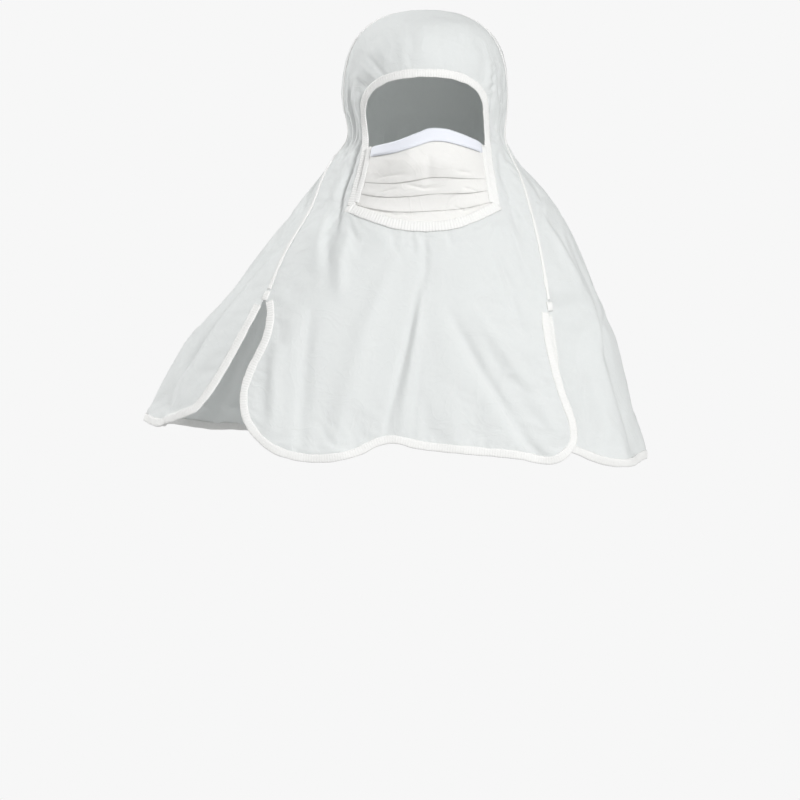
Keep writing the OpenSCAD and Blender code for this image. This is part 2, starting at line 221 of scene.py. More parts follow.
@dataclass(frozen=True)
class Outline:
    """The edges of the cloth panels on the worn shape, in millimetres."""

    shape: WornShape
    right_edge: Curve
    left_edge: Curve
    right_cheek: Curve
    left_cheek: Curve
    chin: Curve
    foot_z: float = -236.0
    arch_z: float = -110.0
    corner_z: float = -206.0
    brow_z: float = -79.0
    arch_power: float = 2.6

    def edge(self, side: Side, z: np.ndarray) -> np.ndarray:
        """X of the front panel's side seam, and of the cape's own edge below the slit's top."""
        return side.value * (self.right_edge if side is Side.RIGHT else self.left_edge).at(z)

    def edge_angle(self, side: Side, z: np.ndarray) -> np.ndarray:
        """Degrees round from the front of that same edge."""
        x = self.edge(side, z)
        share = np.abs(x) / self.shape.half_width(x, z)
        a = np.degrees(np.arcsin(np.clip(share, 0, 1) ** (self.shape.power(z) / 2)))
        return a if side is Side.RIGHT else 360.0 - a

    def seam(self, s: np.ndarray, foot: float) -> np.ndarray:
        """The long seam, from the right (s = -1) over the crown (s = 0) to the left (s = 1)."""
        w = self.shape
        arch = w.snap(np.stack([
            w.crown_half * np.sin(np.pi * s),
            np.full_like(s, -w.seam_forward),
            w.dome_z + w.dome_h * np.cos(np.pi * np.clip(s, -0.5, 0.5)),
        ], -1))
        z = mix(w.dome_z, foot, np.clip(2 * np.abs(s) - 1, 0, 1))
        x = np.where(s < 0, self.edge(Side.RIGHT, z), self.edge(Side.LEFT, z))
        return np.where((np.abs(s) <= 0.5)[..., None], arch, w.on_front(x, z))

    def opening(self, s: np.ndarray, grow: float) -> np.ndarray:
        """The face opening's edge, from its lower right corner over the brow to the lower left."""
        right, left = self.right_cheek, self.left_cheek
        a = np.pi * np.clip(s, -0.5, 0.5)
        half = np.where(s < 0, right.at(self.arch_z), left.at(self.arch_z)) + grow
        h = self.brow_z - self.arch_z + grow
        arch_x = half * signed_power(np.sin(a), 2 / self.arch_power)
        arch_z = self.arch_z + h * np.abs(np.cos(a)) ** (2 / self.arch_power)
        z = mix(self.arch_z, self.corner_z, np.clip(2 * np.abs(s) - 1, 0, 1))
        side_x = np.sign(s) * (np.where(s < 0, right.at(z), left.at(z)) + grow)
        top = np.abs(s) <= 0.5
        return self.shape.on_front(np.where(top, arch_x, side_x), np.where(top, arch_z, z))


def worn_shape() -> WornShape:
    """The worn shape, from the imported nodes' boxes.

    Returns:
        The shape in millimetres.
    """
    crown = millimetres("hood_back")[1]
    crown_half = 0.5 * (millimetres("crown_seam")[1][0] - millimetres("crown_seam")[0][0])
    hem_low, hem_high = millimetres("cape_hem")
    bib_front = 1.0 - millimetres("bib_flap")[0][1] - 2.0
    crown_front, crown_back = 102.0, 97.0
    dome_h = 93.5
    dome_z = crown[2] - 98.0
    cape_right, cape_left = -hem_low[0] - 1.0, hem_high[0] - 2.0
    return WornShape(
        crown_half=crown_half,
        crown_front=crown_front,
        crown_back=crown_back,
        dome_z=dome_z,
        dome_h=dome_h,
        right=Curve(((dome_z, crown_half), (-137, crown_half - 2), (-155, 97), (-200, 130),
                     (-262, 178), (-327, cape_right - 56), (-423, cape_right), (-470, cape_right + 22))),
        left=Curve(((dome_z, crown_half), (-137, crown_half), (-155, 96), (-183, 121), (-219, 143),
                    (-276, 168), (-343, cape_left - 30), (-456, cape_left))),
        front=Curve(((dome_z, crown_front), (-137, crown_front - 2), (-200, 108), (-240, 118),
                     (-330, bib_front - 6), (-450, bib_front))),
        back=Curve(((dome_z, crown_back), (-160, crown_back - 13), (-215, 72), (-260, 90),
                    (-300, 107), (-350, 121), (-450, 134))),
    )


def outline_of(shape: WornShape) -> Outline:
    """The panels' edges on the worn shape."""
    ear = 0.974 * shape.crown_half
    return Outline(
        shape=shape,
        right_edge=Curve(((shape.dome_z, ear), (-137, 81), (-156, 95), (-209, 117), (-250, 140),
                          (-296, 159), (-350, 187), (-400, 218), (-411, 227))),
        left_edge=Curve(((shape.dome_z, ear), (-137, 81), (-171, 94), (-237, 111), (-308, 122),
                         (-343, 127), (-440, 132))),
        right_cheek=Curve(((-110, 58), (-147, 56), (-165, 59), (-206, 70))),
        left_cheek=Curve(((-110, 55), (-165, 59), (-206, 65))),
        chin=Curve(((-79, -208), (-60, -216), (-35, -225), (0, -229), (35, -224), (58, -214), (73, -206))),
    )


# ---------------------------------------------------------------- folds


@dataclass(frozen=True)
class Fold:
    """A soft ridge (height above 0) or valley (below 0) along a route on the cloth."""

    route: tuple[tuple[float, float], ...]
    height: float
    width: float
    space: Space = Space.FRONT
    start: float = 0.0
    end: float = 0.0

    def lift(self, across: np.ndarray, z: np.ndarray) -> np.ndarray:
        """How far the fold lifts the cloth at each place.

        Args:
            across: x or degrees, as the fold's space says.
            z: height.

        Returns:
            Millimetres along the cloth's outward side.
        """
        scale = 1.0 if self.space is Space.FRONT else 1.7
        pts = np.array(self.route, float) * np.array([scale, 1.0])
        px, pz = across * scale, z
        lengths = np.linalg.norm(np.diff(pts, axis=0), axis=1)
        run = np.concatenate([[0.0], np.cumsum(lengths)]) / lengths.sum()
        best = np.full(px.shape, 1e9)
        along = np.zeros(px.shape)
        for k, (a, b) in enumerate(zip(pts[:-1], pts[1:])):
            d = b - a
            t = np.clip(((px - a[0]) * d[0] + (pz - a[1]) * d[1]) / (d @ d), 0, 1)
            dist = np.hypot(px - a[0] - t * d[0], pz - a[1] - t * d[1])
            near = dist < best
            best = np.where(near, dist, best)
            along = np.where(near, mix(run[k], run[k + 1], t), along)
        taper = mix(self.start, 1.0, ease(along / 0.35)) * mix(1.0, self.end, ease((along - 0.65) / 0.35))
        spread = self.width * mix(0.6 + 0.4 * self.start, 1.0, along)
        return self.height * taper * np.exp(-((best / spread) ** 2.0))


def lift_of(folds: list[Fold], shape: WornShape, p: np.ndarray) -> np.ndarray:
    """The sum of the folds' lifts over an array of surface points."""
    phi = shape.angle(p)
    total = np.zeros(p.shape[:-1])
    for f in folds:
        total += f.lift(p[..., 0] if f.space is Space.FRONT else phi, p[..., 2])
    return total


def gathers(
    middle: float, spread: float, top: float, foot: float, count: int, height: float, width: float, seed: int
) -> list[Fold]:
    """Crowded upright folds, such as those that a drawn-in edge makes.

    Args:
        middle: degrees round from the front of the crowd's middle.
        spread: degrees from there to its outermost fold.
        top: height of the folds' upper ends.
        foot: height of their lower ends.
        count: how many folds.
        height: millimetres of the tallest.
        width: millimetres of the widest.
        seed: which crowd.

    Returns:
        The folds, ridges and valleys by turns.
    """
    rng = np.random.default_rng(seed)
    made = []
    for k in range(count):
        phi = middle + spread * (2 * (k + 0.5) / count - 1)
        lean = rng.uniform(-3, 3)
        high = top + rng.uniform(-12, 12)
        low = foot + rng.uniform(-20, 16)
        bow = rng.uniform(-2.5, 2.5)
        route = ((phi, high), (phi + bow, (high + low) / 2), (phi + lean, low))
        sign = 1 if k % 2 else -1
        tall, wide = sign * height * rng.uniform(0.5, 1.0), width * rng.uniform(0.6, 1.0)
        made.append(Fold(route, tall, wide, Space.ROUND))
    return made


# ---------------------------------------------------------------- meshes


def grid_faces(index: np.ndarray, flip: bool = False) -> list[tuple[int, int, int, int]]:
    """Four-sided faces between neighbouring vertex numbers of a grid."""
    a, b, c, d = index[:-1, :-1], index[1:, :-1], index[1:, 1:], index[:-1, 1:]
    quads = np.stack([a, d, c, b] if flip else [a, b, c, d], -1).reshape(-1, 4)
    return [tuple(int(i) for i in q) for q in quads]


def add_mesh(name: str, points: np.ndarray, faces: list[tuple[int, ...]]) -> bpy.types.Object:
    """A new object in the scene from points in millimetres and faces."""
    mesh = bpy.data.meshes.new(name)
    mesh.from_pydata((points * MM).tolist(), [], faces)
    mesh.update()
    obj = bpy.data.objects.new(name, mesh)
    bpy.context.scene.collection.objects.link(obj)
    return obj


def choose(obj: bpy.types.Object) -> None:
    """Makes obj the only selected and the active object."""
    bpy.ops.object.select_all(action="DESELECT")
    obj.select_set(True)
    bpy.context.view_layer.objects.active = obj


def apply_modifier(obj: bpy.types.Object, kind: str, **settings: object) -> None:
    """Adds a modifier, sets it and applies it."""
    choose(obj)
    m = obj.modifiers.new(kind.title(), kind)
    for key, value in settings.items():
        setattr(m, key, value)
    bpy.ops.object.modifier_apply(modifier=m.name)


def face_outwards(obj: bpy.types.Object) -> None:
    """Turns all the faces of a closed mesh outwards."""
    choose(obj)
    bpy.ops.object.mode_set(mode="EDIT")
    bpy.ops.mesh.select_all(action="SELECT")
    bpy.ops.mesh.normals_make_consistent(inside=False)
    bpy.ops.object.mode_set(mode="OBJECT")


def finish_cloth(obj: bpy.types.Object, thickness: float, levels: int = 1,
                 creases: Callable[[np.ndarray], np.ndarray] | None = None) -> None:
    """Smooths a one-layer cloth mesh and gives it both its faces.

    Args:
        obj: the cloth.
        thickness: millimetres.
        levels: how often each face is divided.
        creases: moves for creases too fine for the undivided mesh, in millimetres.
    """
    if levels:
        apply_modifier(obj, "SUBSURF", levels=levels, render_levels=levels,
                       boundary_smooth="PRESERVE_CORNERS")
    if creases is not None:
        p = points_of(obj)
        obj.data.vertices.foreach_set("co", ((p + creases(p)) * MM).astype(np.float32).ravel())
        obj.data.update()
    apply_modifier(obj, "SOLIDIFY", thickness=thickness * MM, offset=0.0, use_even_offset=False)
    for p in obj.data.polygons:
        p.use_smooth = True


@dataclass(frozen=True)
class Tape:
    """A folded strip of cloth swept along a path, with an overlocked edge's ribs across it."""

    width: float = 9.0
    thick: float = 2.4
    pitch: float = 2.6
    rib: float = 0.35
    sides: int = 14
    step: float = 0.65
    sink: float = 0.0

    def sweep(self, name: str, path: np.ndarray, across: np.ndarray, out: np.ndarray, lift: float = 0.0,
              wobble: float = 0.35, seed: int = 1) -> bpy.types.Object:
        """The strip's mesh.

        Args:
            name: the piece's name.
            path: the strip's middle line.
            across: unit vectors across the strip at each point.
            out: unit vectors away from the cloth at each point.
            lift: how far the strip stands off the path.
            wobble: how uneven the strip's edges are.
            seed: which unevenness.

        Returns:
            The strip as a closed mesh with a coordinate along it in its UV map.
        """
        lengths = np.concatenate([[0.0], np.cumsum(np.linalg.norm(np.diff(path, axis=0), axis=1))])
        count = max(8, int(lengths[-1] / self.step))
        s = np.linspace(0, lengths[-1], count)
        at = [np.interp(s, lengths, path[:, k]) for k in range(3)]
        p = np.stack(at, -1)
        a = unit(np.stack([np.interp(s, lengths, across[:, k]) for k in range(3)], -1))
        o = unit(np.stack([np.interp(s, lengths, out[:, k]) for k in range(3)], -1))
        rng = np.random.default_rng(seed)
        waves = sum(np.sin(2 * np.pi * s / w + rng.uniform(0, 6.28)) for w in (17.0, 29.0, 47.0)) / 3
        ribs = self.rib * (0.5 + 0.5 * np.cos(2 * np.pi * s / self.pitch)) ** 2
        t = 2 * np.pi * np.arange(self.sides) / self.sides
        flat_c, flat_s = signed_power(np.cos(t), 0.5), signed_power(np.sin(t), 0.6)
        half = self.width / 2 + wobble * waves[:, None] + 0.4 * ribs[:, None]
        high = self.thick / 2 + ribs[:, None]
        end = np.minimum(s, lengths[-1] - s) / min(9.0, 0.3 * lengths[-1])
        stand = lift - self.sink * (1 - ease(end))[:, None]
        ring = (p[:, None] + a[:, None] * (half * flat_c)[..., None]
                + o[:, None] * (stand + high * flat_s)[..., None])
        points = ring.reshape(-1, 3)
        index = np.arange(len(points)).reshape(count, self.sides)
        closed = np.concatenate([index, index[:, :1]], 1)
        faces = grid_faces(closed)
        faces += [tuple(int(i) for i in index[0][::-1]), tuple(int(i) for i in index[-1])]
        obj = add_mesh(name, points, faces)
        uv = obj.data.uv_layers.new(name="run")
        along = np.repeat(s, self.sides) * MM
        round_it = np.tile(t / (2 * np.pi), count)
        loops = np.zeros(len(obj.data.loops), np.int32)
        obj.data.loops.foreach_get("vertex_index", loops)
        uv.data.foreach_set("uv", np.stack([along[loops], round_it[loops]], -1).astype(np.float32).ravel())
        face_outwards(obj)
        for f in obj.data.polygons:
            f.use_smooth = True
        return obj


def edge_frame(path: np.ndarray, inner: np.ndarray,
               inset: float) -> tuple[np.ndarray, np.ndarray, np.ndarray]:
    """Where a binding lies along a cloth edge.

    Args:
        path: the edge's points.
        inner: for each, the cloth's next point inwards.
        inset: how far inside the edge the binding's middle line runs.

    Returns:
        The middle line, the unit vectors across it and those away from the cloth.
    """
    along = unit(np.gradient(path, axis=0))
    across = inner - path
    across = unit(across - along * np.sum(across * along, -1, keepdims=True))
    kernel = np.array([1, 2, 3, 4, 3, 2, 1]) / 16.0
    padded = np.pad(across, ((3, 3), (0, 0)), mode="edge")
    across = unit(np.stack([np.convolve(padded[:, k], kernel, mode="valid") for k in range(3)], -1))
    out = unit(np.cross(along, across))
    radial = path - np.array([0.0, 0.0, -200.0])
    if np.sum(out * radial) < 0:
        out = -out
    return path + across * inset, across, out


# ---------------------------------------------------------------- cloth simulation


def settle(obj: bpy.types.Object, hold: np.ndarray, frames: int = 14, shrink: float = -0.02,
           cap: float = 3.0) -> None:
    """Lets the cloth crumple a little around its built shape, and keeps the result.

    Args:
        obj: the cloth, one layer.
        hold: how firmly each vertex is held, from 0 to 1.
        frames: how many frames to run.
        shrink: the cloth's shrinkage, below 0 where the cloth is larger than its place.
        cap: the furthest that a vertex may move, in millimetres.
    """
    rest = np.array([v.co for v in obj.data.vertices])
    group = obj.vertex_groups.new(name="held")
    for i, w in enumerate(hold):
        group.add([i], float(max(w, 0.03)), "REPLACE")
    cloth = obj.modifiers.new("Cloth", "CLOTH")
    s = cloth.settings
    s.quality = 4
    s.mass = 0.08
    s.tension_stiffness = 30
    s.compression_stiffness = 22
    s.shear_stiffness = 12
    s.bending_stiffness = 0.12
    s.air_damping = 2.0
    s.vertex_group_mass = "held"
    s.pin_stiffness = 1.0
    s.shrink_min = shrink
    s.effector_weights.gravity = 0.0
    cloth.collision_settings.use_self_collision = False
    cloth.point_cache.frame_start = 1
    cloth.point_cache.frame_end = frames
    scene = bpy.context.scene
    for f in range(1, frames + 1):
        scene.frame_set(f)
    moved = obj.evaluated_get(bpy.context.evaluated_depsgraph_get())
    now = np.array([v.co for v in moved.data.vertices])
    obj.modifiers.remove(cloth)
    obj.vertex_groups.remove(group)
    scene.frame_set(1)
    step = now - rest
    far = np.linalg.norm(step, axis=1, keepdims=True)
    limit = cap * MM
    step *= limit * np.tanh(far / limit) / np.maximum(far, 1e-9)
    obj.data.vertices.foreach_set("co", (rest + step).astype(np.float32).ravel())
    obj.data.update()
    log.info("%s settled: mean move %.2f mm, most %.2f mm", obj.name, far.mean() / MM, far.max() / MM)


def points_of(obj: bpy.types.Object) -> np.ndarray:
    """A mesh's vertices in millimetres."""
    co = np.zeros(len(obj.data.vertices) * 3, np.float32)
    obj.data.vertices.foreach_get("co", co)
    return co.reshape(-1, 3).astype(float) / MM


# ---------------------------------------------------------------- finishes


class Sock:
    """A shader socket that can be used in sums. Each sum adds its own node."""

    def __init__(self, tree: bpy.types.NodeTree, socket: bpy.types.NodeSocket) -> None:
        """Wraps one output socket of a node tree."""
        self.tree = tree
        self.socket = socket

    def math(self, operation: str, *others: "Sock | float") -> "Sock":
        """One Math node on this socket and the others."""
        return Paint(self.tree).node("ShaderNodeMath", {"operation": operation}, [self, *others])

    def __add__(self, other: "Sock | float") -> "Sock":
        """The sum."""
        return self.math("ADD", other)

    def __radd__(self, other: float) -> "Sock":
        """The sum, from the right."""
        return self.math("ADD", other)

    def __sub__(self, other: "Sock | float") -> "Sock":
        """The difference."""
        return self.math("SUBTRACT", other)

    def __rsub__(self, other: float) -> "Sock":
        """The difference, from the right."""
        return self.math("MULTIPLY", -1.0).math("ADD", other)

    def __mul__(self, other: "Sock | float") -> "Sock":
        """The product."""
        return self.math("MULTIPLY", other)

    def __rmul__(self, other: float) -> "Sock":
        """The product, from the right."""
        return self.math("MULTIPLY", other)

    def clamp(self) -> "Sock":
        """The value kept between 0 and 1."""
        return self.math("MINIMUM", 1.0).math("MAXIMUM", 0.0)


@dataclass
class Paint:
    """Adds nodes to one material."""

    tree: bpy.types.NodeTree

    def node(self, kind: str, settings: dict[str, object], values: "list | dict",
             output: int | str = 0) -> Sock:
        """One new node.

        Args:
            kind: the node's type.
            settings: its own properties, set first.
            values: what its inputs are set or linked to, in order or by name.
            output: which output is wanted.

        Returns:
            That output.
        """
        n = self.tree.nodes.new(kind)
        for key, value in settings.items():
            if key == "stops":
                ramp = n.color_ramp
                for i, (place, colour) in enumerate(value):
                    stop = ramp.elements[i] if i < len(ramp.elements) else ramp.elements.new(place)
                    stop.position, stop.color = place, colour
            else:
                setattr(n, key, value)
        pairs = values.items() if isinstance(values, dict) else enumerate(values)
        for key, value in pairs:
            if isinstance(value, Sock):
                self.tree.links.new(value.socket, n.inputs[key])
            else:
                n.inputs[key].default_value = value
        return Sock(self.tree, n.outputs[output])

    def surface(self, colour: Sock, normal: Sock, rough: Sock, constants: dict[str, object],
                through: float = 0.0) -> None:
        """Links what varies to the material's surface and sets what doesn't.

        Args:
            colour: the base colour.
            normal: the bumped normal.
            rough: the roughness.
            constants: other inputs of the surface.
            through: the share of light that goes through the cloth.
        """
        bsdf = self.tree.nodes["Principled BSDF"]
        if through:
            soft = self.node("ShaderNodeBsdfTranslucent", {}, {"Color": colour, "Normal": normal})
            plain = Sock(self.tree, bsdf.outputs[0])
            both = self.node("ShaderNodeMixShader", {}, {0: through, 1: plain, 2: soft})
            self.tree.links.new(both.socket, self.tree.nodes["Material Output"].inputs["Surface"])
        for socket, key in ((colour, "Base Color"), (normal, "Normal"), (rough, "Roughness")):
            self.tree.links.new(socket.socket, bsdf.inputs[key])
        for key, value in constants.items():
            bsdf.inputs[key].default_value = value


@dataclass(frozen=True)
class ClothFinish:
    """White nonwoven cloth: fine bond dots, loose fibres and shallow creases."""

    name: str
    colour: tuple[float, float, float]
    shade: tuple[float, float, float]
    dots: float = 850.0
    dot_depth: float = 0.00006
    fibre_depth: float = 0.00005
    crumple_depth: float = 0.0005
    crumple_scale: float = 48.0
    crease_depth: float = 0.00012
    rough: float = 0.82
    sheen: float = 0.08
    through: float = 0.3

    def make(self) -> bpy.types.Material:
        """The material."""
        m = bpy.data.materials.new(self.name)
        m.use_nodes = True
        p = Paint(m.node_tree)
        place = p.node("ShaderNodeTexCoord", {}, {}, "Object")
        dots = p.node("ShaderNodeTexVoronoi", {"feature": "F1"},
                      {"Vector": place, "Scale": self.dots, "Randomness": 0.35}, "Distance")
        pit = (1.0 - dots * 2.2).clamp()
        fibre = p.node("ShaderNodeTexNoise", {}, {"Vector": place, "Scale": 2600.0, "Detail": 2.0}, "Fac")
        crumple = p.node("ShaderNodeTexNoise", {},
                         {"Vector": place, "Scale": self.crumple_scale, "Detail": 4.0,
                          "Roughness": 0.55, "Distortion": 0.8}, "Fac")
        cloud = p.node("ShaderNodeTexNoise", {}, {"Vector": place, "Scale": 260.0, "Detail": 3.0}, "Fac")
        broad = p.node("ShaderNodeTexNoise", {},
                       {"Vector": place, "Scale": 34.0, "Detail": 2.0, "Distortion": 1.2}, "Fac")
        crease = (1.0 - (broad - 0.5).math("ABSOLUTE") * 16.0).clamp()
        height = ((fibre * self.fibre_depth) - (pit * self.dot_depth) + (crumple * self.crumple_depth)
                  + (crease * self.crease_depth))
        normal = p.node("ShaderNodeBump", {}, {"Height": height, "Strength": 1.0, "Distance": 1.0}, "Normal")
        worn = ((cloud - 0.5) * 0.9 + 0.5).clamp()
        colour = p.node("ShaderNodeMix", {"data_type": "RGBA"},
                        {0: worn, 6: (*self.shade, 1.0), 7: (*self.colour, 1.0)}, 2)
        p.surface(colour, normal, (fibre * 0.12) + (self.rough - 0.06),
                  {"Sheen Weight": self.sheen, "Sheen Roughness": 0.5, "Specular IOR Level": 0.2},
                  self.through)
        return m


@dataclass(frozen=True)
class TapeFinish:
    """White tape with fine threads across it, in the strip's own coordinates."""

    name: str
    colour: tuple[float, float, float]
    shade: tuple[float, float, float]
    threads: float = 900.0
    depth: float = 0.00012
    rough: float = 0.7

    def make(self) -> bpy.types.Material:
        """The material."""
        m = bpy.data.materials.new(self.name)
        m.use_nodes = True
        p = Paint(m.node_tree)
        run = p.node("ShaderNodeUVMap", {"uv_map": "run"}, {}, "UV")
        along = p.node("ShaderNodeSeparateXYZ", {}, [run], "X")
        wave = (along * (self.threads * 2 * math.pi)).math("SINE")
        place = p.node("ShaderNodeTexCoord", {}, {}, "Object")
        fuzz = p.node("ShaderNodeTexNoise", {}, {"Vector": place, "Scale": 900.0, "Detail": 3.0}, "Fac")
        height = (wave * (0.5 * self.depth)) + (fuzz * self.depth)
        normal = p.node("ShaderNodeBump", {}, {"Height": height, "Strength": 1.0, "Distance": 1.0}, "Normal")
        worn = ((fuzz - 0.5) * 1.2 + 0.5).clamp()
        colour = p.node("ShaderNodeMix", {"data_type": "RGBA"},
                        {0: worn, 6: (*self.shade, 1.0), 7: (*self.colour, 1.0)}, 2)
        p.surface(colour, normal, (fuzz * 0.1) + (self.rough - 0.05), {"Specular IOR Level": 0.25})
        return m


@dataclass(frozen=True)
class HardFinish:
    """Moulded plastic or drawn metal with fine wear."""

    name: str
    colour: tuple[float, float, float]
    metal: float = 0.0
    rough: float = 0.45

    def make(self) -> bpy.types.Material:
        """The material."""
        m = bpy.data.materials.new(self.name)
        m.use_nodes = True
        p = Paint(m.node_tree)
        place = p.node("ShaderNodeTexCoord", {}, {}, "Object")
        cloud = p.node("ShaderNodeTexNoise", {}, {"Vector": place, "Scale": 700.0, "Detail": 3.0}, "Fac")
        grain = p.node("ShaderNodeTexNoise", {}, {"Vector": place, "Scale": 4000.0, "Detail": 1.0}, "Fac")
        normal = p.node("ShaderNodeBump", {},
                        {"Height": grain * 0.00001, "Strength": 1.0, "Distance": 1.0}, "Normal")
        dull = tuple(0.93 * c for c in self.colour)
        colour = p.node("ShaderNodeMix", {"data_type": "RGBA"},
                        {0: cloud, 6: (*dull, 1.0), 7: (*self.colour, 1.0)}, 2)
        p.surface(colour, normal, (cloud * 0.2) + (self.rough - 0.1), {"Metallic": self.metal})
        return m


HOOD = ClothFinish("hood_nonwoven", (0.83, 0.845, 0.84), (0.80, 0.82, 0.815))
MASK_CLOTH = ClothFinish("mask_nonwoven", (0.86, 0.855, 0.835), (0.83, 0.825, 0.805), dots=1100.0,
                         crumple_depth=0.0004, crease_depth=0.00015, rough=0.75, through=0.15)
FILTER = ClothFinish("filter_felt", (0.80, 0.82, 0.84), (0.76, 0.78, 0.80), dots=1600.0,
                     crumple_depth=0.0002)
LINING = ClothFinish("lining_nonwoven", (0.86, 0.86, 0.85), (0.83, 0.83, 0.82), dots=1300.0,
                     crumple_depth=0.0002)
BAND = ClothFinish("band_film", (0.80, 0.82, 0.875), (0.78, 0.80, 0.855), dots=2000.0, dot_depth=0.00001,
                   crumple_depth=0.00015, crease_depth=0.00005, rough=0.6, through=0.1)
BINDING = TapeFinish("binding_tape", (0.785, 0.785, 0.77), (0.745, 0.745, 0.735))
ELASTIC = TapeFinish("braided_elastic", (0.88, 0.88, 0.87), (0.80, 0.80, 0.79), threads=700.0, depth=0.0002)
PLASTIC = HardFinish("moulded_snap", (0.86, 0.86, 0.83))
METAL = HardFinish("nose_wire_metal", (0.72, 0.73, 0.74), metal=1.0, rough=0.35)


def dress(obj: bpy.types.Object, finish: "ClothFinish | TapeFinish | HardFinish") -> None:
    """Gives obj a finish."""
    made = bpy.data.materials.get(finish.name) or finish.make()
    obj.data.materials.clear()
    obj.data.materials.append(made)


# ---------------------------------------------------------------- hood and cape


@dataclass
class Panel:
    """A finished sheet of cloth with the edges that its bindings need, in millimetres."""

    obj: bpy.types.Object
    edges: dict[str, tuple[np.ndarray, np.ndarray]] = field(default_factory=dict)


@dataclass
class FrontPanel:
    """Forehead, cheeks and bib, cut in one."""

    out: Outline
    folds: list[Fold]
    ring: int = 190
    deep: int = 16
    chin_columns: int = 64
    rows: int = 84
    right_bib: tuple = ((-312, -157), (-333, -160), (-370, -177), (-389, -183), (-420, -180), (-437, -169))
    left_bib: tuple = ((-322, 121), (-353, 126), (-390, 136), (-427, 148), (-442, 148), (-452, 142))
    hem: tuple = ((-169, -437), (-155, -449), (-138, -456), (-101, -460), (-66, -453), (-44, -442.5),
                  (-32, -441), (-16, -445), (52, -453), (98, -458), (114, -462), (130, -461), (142, -452))

    def build(self) -> Panel:
        """The panel, ready for its bindings."""
        horseshoe = self._horseshoe()
        bib = self._bib(horseshoe)
        nu, j = horseshoe.shape[:2]
        c, s = bib.shape[:2]
        upper = np.arange(nu * j).reshape(nu, j)
        lower = nu * j + np.arange(c * s).reshape(c, s)
        lower[:j, 0] = upper[0, :]
        lower[c - j:, 0] = upper[-1, ::-1]
        w = self.out.shape
        u = np.linspace(0, 1, nu)[:, None]
        v = np.linspace(0, 1, j)[None, :]
        hold_up = np.maximum(1 - ease(v / 0.16), 1 - ease((1 - v) / 0.16)) + 0 * u
        mask_up = 1 - hold_up
        lift_up = lift_of(self.folds, w, horseshoe) * mask_up
        lifted_up = horseshoe + w.normal(horseshoe) * lift_up[..., None]
        t = np.linspace(0, 1, c)[:, None]
        q = np.linspace(0, 1, s)[None, :]
        above = 1 - ease((-bib[..., 2] - SLIT_DEPTH) / SLIT_EASE)
        chin = (1 - ease(q / 0.06)) * ease((t - 0.16) / 0.05) * ease((0.86 - t) / 0.05)
        side = np.maximum(1 - ease(t / 0.05), 1 - ease((1 - t) / 0.05))
        mask_low = (1 - chin) * (1 - side * above)
        lifted_low = bib + w.normal(bib) * (lift_of(self.folds, w, bib) * mask_low)[..., None]
        points = np.concatenate([lifted_up.reshape(-1, 3), lifted_low.reshape(-1, 3)])
        edge_hold = np.maximum(np.maximum(chin, side), 1 - ease((1 - q) / 0.03))
        hold = np.concatenate([hold_up.reshape(-1), edge_hold.reshape(-1)])
        faces = grid_faces(upper) + grid_faces(lower)
        used = np.unique(np.array(faces))
        remap = np.full(len(points), -1)
        remap[used] = np.arange(len(used))
        obj = add_mesh("front_panel", points[used], [tuple(int(remap[i]) for i in f) for f in faces])
        face_outwards(obj)
        settle(obj, hold[used])
        now = np.zeros_like(points)
        now[used] = points_of(obj)
        edges = {"bib": self._around(now[lower])}
        finish_cloth(obj, CLOTH_THICKNESS,
                     creases=lambda p: w.normal(p) * lift_of(TEMPLE_CREASES, w, p)[:, None])
        face_outwards(obj)
        return Panel(obj, edges)

    def _horseshoe(self) -> np.ndarray:
        """Points from the long seam to the face opening, from the right foot over the brow to the left."""
        u = np.linspace(0, 1, self.ring)
        v = np.linspace(0, 1, self.deep)[None, :, None]
        rim = self.out.seam(2 * u - 1, self.out.foot_z)[:, None]
        hole = self.out.opening(2 * u - 1, 3.0)[:, None]
        return self.out.shape.snap(mix(rim, hole, v))

    def _bib(self, horseshoe: np.ndarray) -> np.ndarray:
        """Points below the horseshoe and the chin, down to the hem."""
        right, left = horseshoe[0, :, [0, 2]].T, horseshoe[-1, ::-1, [0, 2]].T
        k = np.linspace(0, 1, self.chin_columns + 2)
        x = mix(right[-1, 0], left[0, 0], k)
        off_right = right[-1, 1] - self.out.chin.at(right[-1, 0])
        off_left = left[0, 1] - self.out.chin.at(left[0, 0])
        z = self.out.chin.at(x) + mix(off_right, off_left, k) * (1 - ease(np.minimum(k, 1 - k) / 0.15))
        top = np.concatenate([right, np.stack([x, z], -1)[1:-1], left])
        t = self._fractions(top)
        q = np.linspace(0, 1, self.rows)
        seam_heights = (-250, -265, -280, -296)
        down_right = [(self.out.edge(Side.RIGHT, z), z) for z in seam_heights]
        down_right += [(x, z) for z, x in self.right_bib]
        down_left = [(self.out.edge(Side.LEFT, z), z) for z in seam_heights]
        down_left += [(x, z) for z, x in self.left_bib]
        side_right = self._along(np.concatenate([top[:1], np.array(down_right, float)]), q)
        side_left = self._along(np.concatenate([top[-1:], np.array(down_left, float)]), q)
        foot = self._along(np.array(self.hem, float), t)
        tt, qq = t[:, None, None], q[None, :, None]
        flat = (mix(top[:, None], foot[:, None], qq) + mix(side_right[None], side_left[None], tt)
                - mix(mix(top[0], top[-1], tt), mix(foot[0], foot[-1], tt), qq))
        return self.out.shape.on_front(flat[..., 0], flat[..., 1])

    @staticmethod
    def _fractions(path: np.ndarray) -> np.ndarray:
        """Each point's share of the path's length."""
        run = np.concatenate([[0.0], np.cumsum(np.linalg.norm(np.diff(path, axis=0), axis=1))])
        return run / run[-1]

    @classmethod
    def _along(cls, path: np.ndarray, at: np.ndarray) -> np.ndarray:
        """Points at shares of a path's length, with its corners eased."""
        run = cls._fractions(path)
        return np.stack([Curve(tuple(zip(run, path[:, k]))).at(at) for k in range(path.shape[1])], -1)

